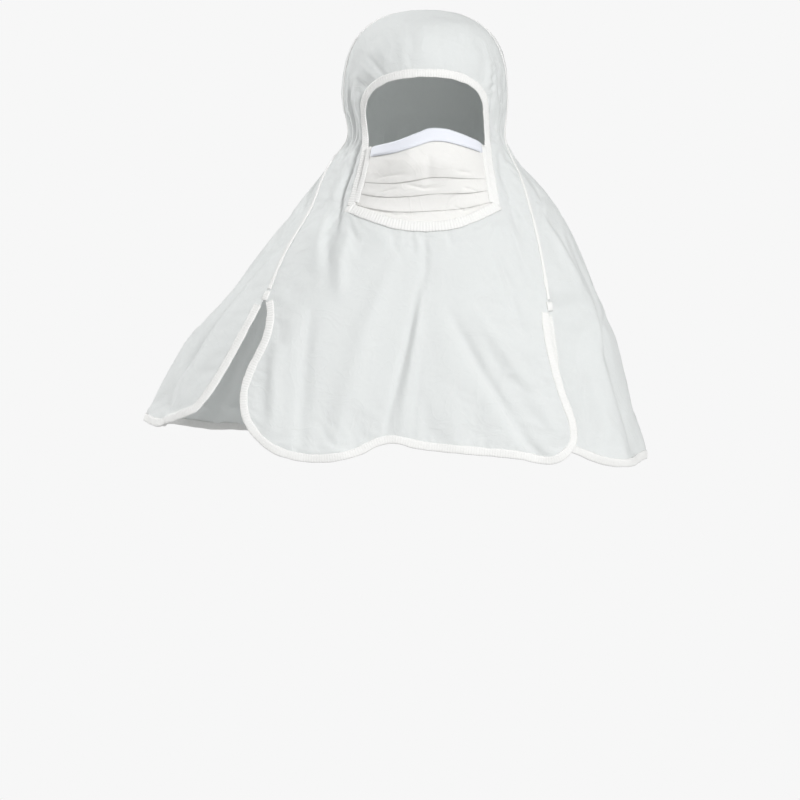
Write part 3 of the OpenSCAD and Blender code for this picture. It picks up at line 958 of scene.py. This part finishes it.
    def _around(self, low: np.ndarray) -> tuple[np.ndarray, np.ndarray]:
        """The bib's free edge and the cloth's next points inwards, from the right slit to the left."""
        right = np.nonzero(low[0, :, 2] < -301)[0]
        left = np.nonzero(low[-1, :, 2] < -311)[0][::-1]
        path = np.concatenate([low[0, right[:-1]], low[:, -1], low[-1, left[1:]]])
        columns, rows = low.shape[:2]
        corner = np.clip((np.arange(rows) - rows + 10) / 9, 0, 1)
        up = np.arange(rows) - np.rint(3 * corner).astype(int)
        column = np.arange(columns)
        inwards = np.rint(3 * np.clip((9 - column) / 9, 0, 1))
        inwards = inwards - np.rint(3 * np.clip((column - columns + 10) / 9, 0, 1))
        inner = np.concatenate([low[3, up[right[:-1]]], low[column + inwards.astype(int), -4],
                                low[-4, up[left[1:]]]])
        return path, inner


@dataclass
class BackPanel:
    """The crown behind the seam, the back of the head and the cape."""

    out: Outline
    folds: list[Fold]
    columns: int = 156
    crown_rows: int = 34
    cape_rows: int = 42
    nape_z: float = -215.0
    tuck: float = 9.0
    hem: tuple = ((0, -411), (0.04, -420), (0.16, -422), (0.5, -440), (0.8, -458), (0.93, -463), (1, -444))

    def build(self) -> Panel:
        """The panel, ready for its bindings."""
        w = self.out.shape
        u = np.linspace(0, 1, self.columns)
        crown = self._crown(u[:, None], np.linspace(0, 1, self.crown_rows)[None])
        cape = self._cape(u[:, None], np.linspace(0, 1, self.cape_rows)[None, 1:])
        grid = np.concatenate([crown, cape], 1)
        v = np.linspace(0, 1, grid.shape[1])[None]
        side = np.maximum(1 - ease(u / 0.03), 1 - ease((1 - u) / 0.03))[:, None]
        above = 1 - ease((-grid[..., 2] - SLIT_DEPTH) / SLIT_EASE)
        top = 1 - ease(v / 0.03)
        mask = (1 - side * above) * (1 - top)
        lift = lift_of(self.folds, w, grid) * mask
        off_middle = np.abs(w.angle(grid) - 180)
        casing = ease((24 - np.abs(grid[..., 2] - self.nape_z)) / 12) * ease((39 - off_middle) / 8)
        snaps = ease((22 - np.abs(grid[..., 2] + 191)) / 8) * ease((66 - off_middle) / 8)
        lift = np.where(lift < 0, lift * (1 - casing), lift * (1 - 0.85 * snaps))
        lifted = grid + w.normal(grid) * lift[..., None]
        inward = self.tuck * ease((u[:, None] - 0.88) / 0.07) * ease((-285 - grid[..., 2]) / 26)
        level = unit(grid * np.array([1.0, 1.0, 0.0]))
        lifted = lifted - level * inward[..., None]
        hold = np.maximum(np.maximum(side, top), 1 - ease((1 - v) / 0.02))
        index = np.arange(lifted.shape[0] * lifted.shape[1]).reshape(lifted.shape[:2])
        obj = add_mesh("back_panel", lifted.reshape(-1, 3), grid_faces(index))
        face_outwards(obj)
        settle(obj, hold.reshape(-1))
        now = points_of(obj)[index]
        edges = {"cape": self._around(now)}
        finish_cloth(obj, CLOTH_THICKNESS)
        face_outwards(obj)
        return Panel(obj, edges)

    def _crown(self, u: np.ndarray, v: np.ndarray) -> np.ndarray:
        """Points from the crown's seam to the nape."""
        w = self.out.shape
        foot = self.nape_z + 10
        a = self.out.seam(1.2 * u - 0.6, w.dome_z - 210)
        lo, hi = self.out.edge_angle(Side.RIGHT, foot) + 0.5, self.out.edge_angle(Side.LEFT, foot) - 0.5
        b = w.around(mix(lo, hi, u), np.full_like(u, foot))
        bulge = (a + b) / 2 + np.sin(np.pi * u)[..., None] * np.array([0.0, 125.0, 100.0])
        q = v[..., None]
        p = w.snap(a * (1 - q) ** 2 + bulge * 2 * q * (1 - q) + b * q**2)
        ends = []
        for side, at in ((Side.RIGHT, 0), (Side.LEFT, -1)):
            z = mix(a[at, 0, 2], foot, v[0])
            ends.append(w.on_front(self.out.edge(side, z), z) - p[at])
        near = 1 - ease(np.minimum(u, 1 - u) / 0.12)
        return p + np.where((u < 0.5)[..., None], ends[0][None], ends[1][None]) * near[..., None]

    def _cape(self, u: np.ndarray, v: np.ndarray) -> np.ndarray:
        """Points from the nape to the cape's hem."""
        w = self.out.shape
        z = mix(self.nape_z + 10, Curve(self.hem).at(u), v)
        lo, hi = self.out.edge_angle(Side.RIGHT, z) + 0.5, self.out.edge_angle(Side.LEFT, z) - 0.5
        return w.around(mix(lo, hi, u), z)

    def _around(self, now: np.ndarray) -> tuple[np.ndarray, np.ndarray]:
        """The cape's free edge and the cloth's next points inwards, from the right slit to the left."""
        right = np.nonzero(now[0, :, 2] < -303)[0]
        left = np.nonzero(now[-1, :, 2] < -314)[0][::-1]
        path = np.concatenate([now[0, right[:-1]], now[:, -1], now[-1, left[1:]]])
        inner = np.concatenate([now[2, right[:-1]], now[:, -2], now[-3, left[1:]]])
        return path, inner


@dataclass
class Trim:
    """The bindings, seams and tacks of the hood and cape."""

    out: Outline

    def seams(self) -> None:
        """The seam over the crown and the bound side seams."""
        w = self.out.shape
        s = np.linspace(-0.5, 0.5, 260)
        path = self.out.seam(s, self.out.foot_z)
        path, across, out = self._laid(path)
        tape = Tape(width=4.0, thick=1.5, pitch=2.2, rib=0.15)
        self._keep(tape.sweep("crown_seam_tape", path, across, out, 0.3, 0.5, 5), "root", "crown_seam")
        for side, end, node, seed in ((Side.RIGHT, -289, "right_side_seam", 6),
                                      (Side.LEFT, -300, "left_side_seam", 7)):
            z = np.linspace(w.dome_z + 2, end, 200)
            path, across, out = self._laid(w.on_front(self.out.edge(side, z), z))
            tape = Tape(width=3.8, thick=1.6, pitch=2.4, rib=0.15)
            self._keep(tape.sweep(node + "_tape", path, across, out, 0.4, 0.4, seed), "root", node)
        for side, z, node in ((Side.RIGHT, -297, "right_slit_tack"), (Side.LEFT, -308, "left_slit_tack")):
            zs = np.linspace(z + 6, z - 3, 12)
            path, across, out = self._laid(w.on_front(self.out.edge(side, zs), zs))
            tack = Tape(width=6.4, thick=2.2, pitch=1.1, rib=0.3, sink=0.9)
            self._keep(tack.sweep(node + "_stitches", path, across, out, 0.6, 0.1, 8), "root", node)

    def face(self) -> None:
        """The binding round the face opening and the ribbed band under the chin."""
        s = np.linspace(-1.0, 1.0, 420)
        path, across, out = self._laid(self.out.opening(s, 4.5))
        tape = Tape(width=8.6, thick=1.8, pitch=2.6, rib=0.3)
        self._keep(tape.sweep("face_binding_tape", path, across, out, 0.5, 0.45, 9), "root", "face_binding")
        x = np.linspace(-81, 75, 300)
        path, across, out = self._laid(self.out.shape.on_front(x, self.out.chin.at(x) + 1))
        band = Tape(width=10.5, thick=2.2, pitch=3.0, rib=0.5, sink=2.6)
        self._keep(band.sweep("chin_band_tape", path, across, out, 1.0, 0.3, 10), "root", "chin_band")

    def hems(self, front: Panel, back: Panel) -> None:
        """The bib's and the cape's hem bindings."""
        tape = Tape(width=8.4, thick=2.5, pitch=2.6, rib=0.25)
        for panel, edge, node, seed, passes in ((front, "bib", "bib_hem", 11, 4),
                                                (back, "cape", "cape_hem", 12, 1)):
            path, inner = panel.edges[edge]
            path, inner = self._smooth(path, passes), self._smooth(inner, passes)
            path, across, out = edge_frame(path, inner, 3.6)
            obj = tape.sweep(node + "_tape", path, across, out, 0.0, 0.35, seed)
            if edge == "bib":
                dress(obj, BINDING)
                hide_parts(node)
                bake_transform(obj)
            else:
                self._keep(obj, "root", node)

    def _laid(self, path: np.ndarray) -> tuple[np.ndarray, np.ndarray, np.ndarray]:
        """A path's middle line, the units across it and those away from the worn shape."""
        out = self.out.shape.normal(path)
        along = unit(np.gradient(path, axis=0))
        return path, unit(np.cross(out, along)), out

    @staticmethod
    def _smooth(path: np.ndarray, passes: int) -> np.ndarray:
        """A path with small jitter taken out and its ends kept."""
        for _ in range(passes):
            inner = 0.25 * path[:-2] + 0.5 * path[1:-1] + 0.25 * path[2:]
            path = np.concatenate([path[:1], inner, path[-1:]])
        return path

    @staticmethod
    def _keep(obj: bpy.types.Object, body: str, node: str) -> None:
        """Dresses a binding and lets it ride on its body."""
        dress(obj, BINDING)
        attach(obj, body)
        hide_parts(node)


# ---------------------------------------------------------------- mask


@dataclass
class Mask:
    """A pleated mask of three plies in the lower part of the face opening."""

    out: Outline
    top: Curve = Curve(((-60, -148), (-45, -146.5), (-31, -144), (-11, -137), (5, -131), (14, -131),
                        (34, -136), (48, -141), (60, -145)))
    nose: Curve = Curve(((-131, 110), (-148, 119), (-164, 124), (-185, 118), (-212, 112), (-228, 116)))
    tips: tuple[float, ...] = (0.50, 0.665, 0.835)
    creases: tuple[Fold, ...] = (
        Fold(((2, -152), (3, -190)), -1.6, 6.0),
        Fold(((18, -142), (22, -178)), 1.0, 8.0),
        Fold(((-14, -142), (-20, -178)), 0.8, 8.0),
        Fold(((-50, -180), (-36, -177), (-20, -176)), -1.3, 1.7),
        Fold(((-53, -197), (-40, -192), (-26, -189)), -1.4, 1.7),
        Fold(((-25, -185), (-2, -190), (19, -187)), -1.3, 2.1),
        Fold(((28, -173), (46, -174)), -1.3, 1.7),
        Fold(((34, -188), (54, -193)), -1.4, 1.7),
        Fold(((13, -218), (22, -203), (34, -190)), -1.6, 2.4),
        Fold(((24, -206), (38, -212), (58, -206)), -1.3, 1.9),
        Fold(((-60, -209), (-30, -216), (4, -216)), -1.2, 1.9),
        Fold(((-46, -160), (-20, -163)), 0.5, 3.5),
    )
    fold: float = 0.062
    stand: float = 1.5

    def build(self) -> None:
        """All of the mask's pieces."""
        u = np.linspace(0, 1, 110)[:, None]
        profile = self._profile()
        grid = self._at(u, profile[None, :, 0], profile[None, :, 1] * self._open(u, profile[None, :, 0]))
        outer = self._sheet("mask_outer", grid, 0.5, MASK_CLOTH, "mask_outer", "mask_outer_ply")
        flat_v = np.linspace(0.0, 0.97, 50)[None]
        inner = self._sheet("mask_filter", self._at(u, flat_v, -1.5 + 0 * u), 0.5, FILTER,
                            "mask_filter", "mask_filter_ply")
        lining = self._sheet("mask_lining_sheet", self._at(u, flat_v, -2.7 + 0 * u), 0.4, LINING,
                             "mask_lining", "mask_lining_ply")
        band_v = np.linspace(-0.012, 0.135, 18)[None]
        edge = np.minimum(band_v + 0.012, 0.135 - band_v) / 0.02
        ends = ease(np.minimum(u, 1 - u) / 0.09)
        raised = (1.0 + 1.5 * ease(edge)) * ends - 1.6 * (1 - ends)
        band = self._sheet("mask_top_tape", self._at(u, band_v, raised), 0.5, BAND,
                           "mask_band", "mask_top_band")
        self._edges()
        for obj in (outer, inner, lining, band):
            log.info("%s area %.4f m2", obj.name, sum(f.area for f in obj.data.polygons) / 2)

    def _profile(self) -> np.ndarray:
        """The outer ply's section: shares of the drop, and millimetres off the surface."""
        line = [(0.0, 0.0)]
        for tip in self.tips:
            line += [(tip - 0.085, 0.3), (tip - 0.03, 1.3), (tip, self.stand * 0.8),
                     (tip + 0.006, self.stand * 0.62), (tip, self.stand * 0.42),
                     (tip - self.fold * 0.6, 0.5), (tip - self.fold, 0.1),
                     (tip - self.fold * 0.7, -0.5), (tip + 0.02, -0.35)]
        line.append((0.97, 0.0))
        pts = np.array(line)
        run = FrontPanel._fractions(pts * np.array([97.0, 1.0]))
        fine = np.linspace(0, 1, 150)
        return np.stack([np.interp(fine, run, pts[:, k]) for k in range(2)], -1)

    @staticmethod
    def _open(u: np.ndarray, v: np.ndarray) -> np.ndarray:
        """How far each pleat stands off, least at the sides where it is sewn down."""
        side = ease(np.minimum(u, 1 - u) / 0.16)
        middle = 1.0 - 0.65 * np.exp(-(((u - 0.56) / 0.17) ** 2))
        wave = np.maximum(0.4, 1.0 + 0.40 * np.sin(7.0 * u + 21.0 * v) + 0.30 * np.sin(17.0 * u - 9.0 * v))
        return 0.64 * (0.25 + 0.75 * side) * middle * wave

    def _side_x(self, side: Side, z: np.ndarray) -> np.ndarray:
        """X where the mask goes under the cheek's binding."""
        cheek = self.out.right_cheek if side is Side.RIGHT else self.out.left_cheek
        return side.value * (cheek.at(z) + 3)

    def _at(self, u: np.ndarray, v: np.ndarray, off: np.ndarray) -> np.ndarray:
        """Points of the mask at shares across and down, off millimetres outwards."""
        x0 = mix(-60.0, 60.0, u)
        z = mix(self.top.at(x0), self.out.chin.at(x0) + 1, v)
        x = mix(self._side_x(Side.RIGHT, z), self._side_x(Side.LEFT, z), u)
        w = np.where(x < 0, -self._side_x(Side.RIGHT, z), self._side_x(Side.LEFT, z)) + 1
        cheek = -self.out.shape.on_front(w, z)[..., 1] - 3
        r = np.minimum(1.0, np.abs(x) / w)
        y = -(cheek + (self.nose.at(z) - cheek) * (1 - r**2.2) ** 0.8)
        y = y - sum(f.lift(x, z) for f in self.creases)
        p = np.stack([x, y, z], -1)
        along = np.gradient(p, axis=0)
        down = np.gradient(p, axis=1)
        if p.shape[1] > 60:
            down = np.broadcast_to(np.array([0.0, 0.0, -1.0]), p.shape)
        n = unit(np.cross(down, along))
        n = np.where(n[..., 1:2] > 0, -n, n)
        return p + n * (off + 0 * x)[..., None]

    @staticmethod
    def _sheet(name: str, grid: np.ndarray, thick: float, finish: ClothFinish, slot: str,
               node: str) -> bpy.types.Object:
        """One ply as a closed sheet."""
        index = np.arange(grid.shape[0] * grid.shape[1]).reshape(grid.shape[:2])
        obj = add_mesh(name, grid.reshape(-1, 3), grid_faces(index))
        finish_cloth(obj, thick, 0)
        face_outwards(obj)
        dress(obj, finish)
        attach(obj, "root")
        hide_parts(node)
        return obj

    def _edges(self) -> None:
        """The mask's side bindings, under the cheek bindings."""
        for side, node in ((Side.RIGHT, "mask_right_edge"), (Side.LEFT, "mask_left_edge")):
            z = np.linspace(-147, -203, 90)
            x = self._side_x(side, z) - side.value * 3.0
            w = np.abs(self._side_x(side, z)) + 1
            cheek = -self.out.shape.on_front(w, z)[..., 1] - 3
            r = np.minimum(1.0, np.abs(x) / w)
            y = -(cheek + (self.nose.at(z) - cheek) * (1 - r**2.2) ** 0.8)
            path = np.stack([x, y, z], -1)
            out = self.out.shape.normal(path)
            along = unit(np.gradient(path, axis=0))
            tape = Tape(width=5.5, thick=2.6, pitch=2.4, rib=0.25)
            obj = tape.sweep(node + "_tape", path, unit(np.cross(out, along)), out, 0.6, 0.2, 13)
            Trim._keep(obj, "root", node)


# ---------------------------------------------------------------- nape


@dataclass
class Nape:
    """The elastic's casing and the two snap tabs."""

    shape: WornShape
    nape_z: float = -215.0

    def build(self) -> None:
        """All of the nape's pieces."""
        for name, node, half, step, span, finish, slot, lift in (
            ("nape_casing_tape", "nape_casing", 9.0, 3.2, 60.0, BINDING, "binding", -2.6),
            ("nape_elastic_tape", "nape_elastic", 4.0, 2.0, 57.0, ELASTIC, "elastic", -2.6),
        ):
            phi = np.linspace(180 - span / 2, 180 + span / 2, 160)
            path = self.shape.around(phi, np.full_like(phi, self.nape_z))
            out = self.shape.normal(path)
            across = unit(np.cross(out, unit(np.gradient(path, axis=0))))
            tape = Tape(width=2 * half, thick=1.1 if slot == "elastic" else 2.0, pitch=step, rib=0.3)
            obj = tape.sweep(name, path, across, out, lift, 0.3, 14)
            dress(obj, finish)
            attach(obj, "root")
            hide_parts(node)
        self._tabs()

    def _tabs(self) -> None:
        """The tabs, their sewn ends and their snaps, with eased edges and stitches."""
        for side in ("right", "left"):
            body = f"{side}_tab"
            for node, where in ((f"{side}_tab_cap", body), (f"{side}_tab_stud", body),
                                *((f"{side}_socket_{i}", "root") for i in (1, 2, 3))):
                self._eased(node, where, 0.25, PLASTIC, "snap_plastic")
            self._eased(f"{side}_tab_anchor", "root", 0.7, BINDING, "binding")
            tab = self._eased(f"{side}_tab", body, 0.35, HOOD, "hood_fabric")
            stitches = self._stitches(f"{side}_tab")
            dress(stitches, BINDING)
            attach(stitches, body)
        dress(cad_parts["nose_wire"], METAL)

    @staticmethod
    def _eased(node: str, body: str, width: float, finish: object, slot: str) -> bpy.types.Object:
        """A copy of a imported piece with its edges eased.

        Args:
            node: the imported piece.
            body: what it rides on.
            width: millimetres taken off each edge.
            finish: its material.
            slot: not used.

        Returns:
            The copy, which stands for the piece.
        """
        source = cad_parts[node]
        obj = bpy.data.objects.new(node + "_eased", source.data.copy())
        bpy.context.scene.collection.objects.link(obj)
        choose(obj)
        bpy.ops.object.mode_set(mode="EDIT")
        bpy.ops.mesh.select_all(action="SELECT")
        bpy.ops.mesh.remove_doubles(threshold=0.00002)
        bpy.ops.object.mode_set(mode="OBJECT")
        apply_modifier(obj, "BEVEL", width=width * MM, segments=2, limit_method="ANGLE",
                       angle_limit=math.radians(40))
        bpy.ops.object.shade_smooth_by_angle(angle=math.radians(35))
        uv = obj.data.uv_layers.get("run") or obj.data.uv_layers.new(name="run")
        loops = np.zeros(len(obj.data.loops), np.int32)
        obj.data.loops.foreach_get("vertex_index", loops)
        where = points_of(obj)[loops] * MM
        uv.data.foreach_set("uv", where[:, [0, 2]].astype(np.float32).ravel())
        dress(obj, finish)
        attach(obj, body)
        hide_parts(node)
        return obj

    def _stitches(self, node: str) -> bpy.types.Object:
        """A row of stitches round a tab, near its edge.

        Args:
            node: the tab.

        Returns:
            The stitches as one mesh.
        """
        low, high = millimetres(node)
        side = 1.0 if low[0] + high[0] > 0 else -1.0
        root = np.array([max(abs(low[0]), abs(high[0])) * side, 0.0, (low[2] + high[2]) / 2])
        turn = math.radians(18.07)
        near = low[1] + 0.6 * math.cos(turn)
        length, half, inset = 56.0, (high[2] - low[2]) / 2, 2.4
        straight = np.arange(2.5, length - half, 2.6)
        bend = np.radians(np.arange(-80, 81, 20))
        r = half - inset
        flat = [(d, r) for d in straight] + [(d, -r) for d in straight]
        flat += [(length - half + r * math.cos(b), r * math.sin(b)) for b in bend]
        along = np.array([-side * math.cos(turn), math.sin(turn), 0.0])
        out = np.array([side * math.sin(turn), math.cos(turn), 0.0])
        up = np.array([0.0, 0.0, 1.0])
        box = np.array([[i, j, k] for i in (-1, 1) for j in (-1, 1) for k in (-1, 1)], float)
        corners = ((0, 1, 3, 2), (4, 6, 7, 5), (0, 4, 5, 1), (2, 3, 7, 6), (0, 2, 6, 4), (1, 5, 7, 3))
        points, faces = [], []
        origin = np.array([root[0] - 0.6 * side * math.sin(turn), near, root[2]])
        for n, (d, h) in enumerate(flat):
            heading = 0.0 if n < 2 * len(straight) else bend[n - 2 * len(straight)] + math.pi / 2
            lead = along * math.cos(heading) + up * math.sin(heading)
            wide = np.cross(out, lead)
            middle = origin + along * d + up * h
            points += [middle + lead * c[0] * 0.75 + wide * c[1] * 0.22 + out * c[2] * 0.85 for c in box]
            faces += [tuple(8 * n + i for i in f) for f in corners]
        obj = add_mesh(node + "_stitches", np.array(points), faces)
        obj.data.uv_layers.new(name="run")
        face_outwards(obj)
        return obj


# ---------------------------------------------------------------- studio


@dataclass(frozen=True)
class Studio:
    """A pale floor well below the hood, soft light and the camera."""

    floor_z: float = -0.95
    pale: float = 0.93
    ambient: float = 0.34

    def build(self) -> None:
        """The floor, lights, world and camera."""
        bpy.ops.mesh.primitive_plane_add(size=60, location=(0, 0, 0))
        floor = bpy.context.object
        floor.name = "floor"
        floor.data.transform(Matrix.Translation((0, 0, self.floor_z)))
        floor.data.materials.append(self._floor_paint())
        self._world()
        for name, place, spread, power in (("key", (1.5, -2.45, 1.25), 14, 2.55),
                                           ("fill", (-2.4, -1.8, 0.9), 40, 0.58),
                                           ("rim", (-2.4, 1.7, 1.3), 20, 2.2)):
            light = bpy.data.lights.new(name, "SUN")
            light.angle, light.energy = math.radians(spread), power
            lamp = bpy.data.objects.new(name, light)
            lamp.location = place
            lamp.rotation_euler = (-Vector(place)).to_track_quat("-Z", "Y").to_euler()
            bpy.context.scene.collection.objects.link(lamp)
        data = bpy.data.cameras.new("camera")
        data.lens, data.sensor_width = 135, 36
        camera = bpy.data.objects.new("camera", data)
        camera.location = (-0.026, -3.08, -0.399)
        camera.rotation_euler = (math.pi / 2, 0, 0)
        bpy.context.scene.collection.objects.link(camera)
        bpy.context.scene.camera = camera
        bpy.context.scene.view_settings.view_transform = "Standard"

    def _floor_paint(self) -> bpy.types.Material:
        """A floor that the camera sees as pale as the space behind it."""
        m = bpy.data.materials.new("floor")
        m.use_nodes = True
        p = Paint(m.node_tree)
        seen = p.node("ShaderNodeLightPath", {}, {}, "Is Camera Ray")
        out = m.node_tree.nodes["Material Output"]
        glow = p.node("ShaderNodeEmission", {}, {"Color": (1, 1, 1, 1), "Strength": self.pale})
        plain = m.node_tree.nodes["Principled BSDF"]
        plain.inputs["Base Color"].default_value = (0.6, 0.6, 0.6, 1)
        both = p.node("ShaderNodeMixShader", {}, {0: seen, 1: Sock(m.node_tree, plain.outputs[0]), 2: glow})
        m.node_tree.links.new(both.socket, out.inputs["Surface"])
        return m

    def _world(self) -> None:
        """Pale behind the hood, and dimmer as a source of light."""
        world = bpy.data.worlds.new("studio")
        bpy.context.scene.world = world
        world.use_nodes = True
        p = Paint(world.node_tree)
        seen = p.node("ShaderNodeLightPath", {}, {}, "Is Camera Ray")
        strength = seen * (self.pale - self.ambient) + self.ambient
        back = world.node_tree.nodes["Background"]
        back.inputs["Color"].default_value = (1.0, 1.0, 1.0, 1.0)
        world.node_tree.links.new(strength.socket, back.inputs["Strength"])


FRONT_FOLDS = [
    # the bib's middle: one crease from the chin band, parting round a raised strip
    Fold(((-2.5, -236), (-1.5, -271), (-20, -350), (-42, -440)), -2.8, 4.6, end=0.3, start=0.7),
    Fold(((-1, -262), (-10, -340), (-27, -440)), 3.8, 6.5, end=0.25, start=0.1),
    Fold(((0, -262), (-6, -350), (-14, -442)), -1.1, 3.0, end=0.3, start=0.3),
    Fold(((8, -285), (20, -350), (34, -440)), 1.6, 15.0, end=1.0),
    Fold(((13, -296), (52, -368), (100, -440), (116, -462)), -3.4, 8.0, end=1.0),
    Fold(((40, -300), (82, -360), (128, -430)), 2.2, 11.0, end=1.0),
    Fold(((62, -236), (84, -290), (98, -356)), -2.6, 7.0),
    Fold(((-22, -240), (-60, -330), (-90, -445)), 2.8, 13.0, end=1.0),
    Fold(((-109, -285), (-118, -350), (-124, -452)), -3.2, 7.0, end=0.5),
    Fold(((-140, -320), (-150, -370), (-150, -440)), 2.4, 9.0, end=0.2),
    Fold(((-92, -186), (-98, -232), (-99, -284)), -3.8, 5.5, end=0.3),
    Fold(((-75, -222), (-84, -262), (-86, -310)), 2.8, 7.0),
    # small gathers under the chin band
    Fold(((-34, -230), (-32, -256)), -0.6, 2.6, start=1.0),
    Fold(((-25, -231), (-24, -260)), 0.5, 3.0, start=1.0),
    Fold(((-14, -232), (-13, -258)), -0.7, 2.6, start=1.0),
    Fold(((-7, -233), (-7, -262)), 0.6, 2.8, start=1.0),
    Fold(((22, -231), (24, -252)), -0.7, 3.0, start=1.0),
    # left and right cheeks
    Fold(((-64, -128), (-73, -156), (-85, -190), (-95, -262)), -6.0, 3.6, start=0.5),
    Fold(((-60, -150), (-66, -180), (-78, -222)), 1.8, 4.0),
    Fold(((-74, -140), (-92, -190), (-108, -240), (-116, -280)), 3.6, 5.5),
    Fold(((70, -146), (83, -190), (98, -246)), -3.4, 4.6),
    Fold(((78, -205), (92, -250), (108, -295)), 2.6, 7.0),
    # forehead
    Fold(((-62, -50), (-52, -62), (-41, -76)), -2.0, 2.6, start=0.3, end=0.8),
    Fold(((-66, -60), (-56, -71), (-46, -84)), 1.6, 2.6, start=0.3, end=0.8),
    Fold(((-70, -74), (-62, -82), (-52, -90)), -1.8, 2.4, end=0.9),
    Fold(((-50, -34), (-44, -50), (-33, -70)), 1.3, 4.0),
    Fold(((-34, -26), (-30, -46), (-28, -72)), -1.1, 3.4),
    Fold(((54, -34), (58, -58), (54, -84)), -1.5, 4.0),
    Fold(((66, -52), (62, -76), (56, -96)), 1.3, 3.4),
    Fold(((-20, -14), (-14, -42), (-16, -72)), -1.2, 4.0),
    Fold(((-6, -10), (-2, -40), (-4, -70)), 0.9, 4.5),
    Fold(((14, -12), (12, -40), (16, -70)), -1.0, 3.6),
    Fold(((30, -20), (36, -50), (34, -74)), -1.2, 4.0),
    Fold(((-52, -14), (-30, -9), (0, -7), (30, -9), (52, -16)), 1.2, 3.2),
    Fold(((-50, -22), (-20, -15), (20, -14), (50, -22)), -1.1, 3.4),
]
TEMPLE_CREASES = [
    Fold(((71, -52), (69.5, -96), (67, -146)), -2.8, 2.0, Space.ROUND, start=0.2, end=0.4),
    Fold(((66, -60), (66.5, -100), (64, -150)), 1.7, 2.0, Space.ROUND, start=0.2, end=0.4),
    Fold(((62, -72), (62.5, -108), (61, -156)), -3.0, 1.9, Space.ROUND, start=0.2, end=0.6),
    Fold(((58, -84), (58.5, -116), (58, -160)), 1.5, 1.7, Space.ROUND, start=0.2, end=0.4),
    Fold(((74, -84), (73, -116), (71, -150)), 1.2, 1.8, Space.ROUND, start=0.2, end=0.4),
    Fold(((299, -60), (298, -100), (299, -142)), -1.4, 1.7, Space.ROUND, start=0.2, end=0.4),
    Fold(((293, -52), (293, -96), (294, -140)), -1.2, 1.7, Space.ROUND, start=0.2, end=0.4),
]
SIDE_FOLDS = [
    Fold(((71, -50), (70, -96), (66, -142)), -3.4, 2.6, Space.ROUND, start=0.3, end=0.5),
    Fold(((65, -56), (64, -100), (62, -146)), 2.4, 2.8, Space.ROUND, start=0.2, end=0.6),
    Fold(((58, -68), (59, -108), (58, -152)), -4.2, 2.4, Space.ROUND, start=0.2, end=0.8),
    Fold(((53, -80), (54, -118), (54, -156)), 2.6, 2.4, Space.ROUND, start=0.3, end=0.6),
    Fold(((48, -90), (50, -124), (50, -162)), -3.2, 2.0, Space.ROUND, start=0.3, end=0.6),
    Fold(((77, -80), (76, -120), (72, -150)), 2.4, 2.6, Space.ROUND, end=0.5),
    *gathers(297, 17, -44, -138, 10, 2.2, 2.2, 22),
]
BACK_FOLDS = [
    *gathers(180, 60, -150, -262, 15, 4.2, 5.0, 31),
    *gathers(180, 50, -120, -190, 9, 2.0, 5.0, 35),
    *gathers(85, 14, -104, -172, 5, 2.0, 3.0, 32),
    *gathers(275, 14, -104, -172, 5, 2.0, 3.0, 33),
    *(replace(f, end=0.8) for f in gathers(180, 116, -292, -462, 15, 7.0, 13.0, 34)),
    Fold(((48, -200), (52, -250), (50, -292)), 4.0, 9.0, Space.ROUND),
    Fold(((60, -214), (66, -280), (70, -360)), -4.5, 8.0, Space.ROUND, end=0.6),
    Fold(((38, -300), (42, -360), (44, -420)), -2.6, 6.0, Space.ROUND, end=1.0),
    Fold(((306, -205), (303, -240), (300, -300)), 3.0, 8.0, Space.ROUND),
    Fold(((292, -230), (288, -300), (284, -400)), -4.0, 9.0, Space.ROUND, end=0.8),
]


def main() -> None:
    """Builds the hood in order and logs each piece."""
    logging.basicConfig(level=logging.INFO, format="%(name)s: %(message)s")
    Studio().build()
    shape = worn_shape()
    out = outline_of(shape)
    front = FrontPanel(out, FRONT_FOLDS + SIDE_FOLDS).build()
    dress(front.obj, HOOD)
    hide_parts("hood_front", "bib_upper", "bib_flap")
    back = BackPanel(out, BACK_FOLDS).build()
    dress(back.obj, HOOD)
    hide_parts("hood_back", "cape_back")
    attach(back.obj, "root")
    trim = Trim(out)
    trim.seams()
    trim.face()
    trim.hems(front, back)
    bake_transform(front.obj)
    Mask(out).build()
    for panel in (front, back):
        log.info("%s area %.4f m2", panel.obj.name, sum(p.area for p in panel.obj.data.polygons) / 2)
    Nape(shape).build()


if __name__ == "__main__":
    main()
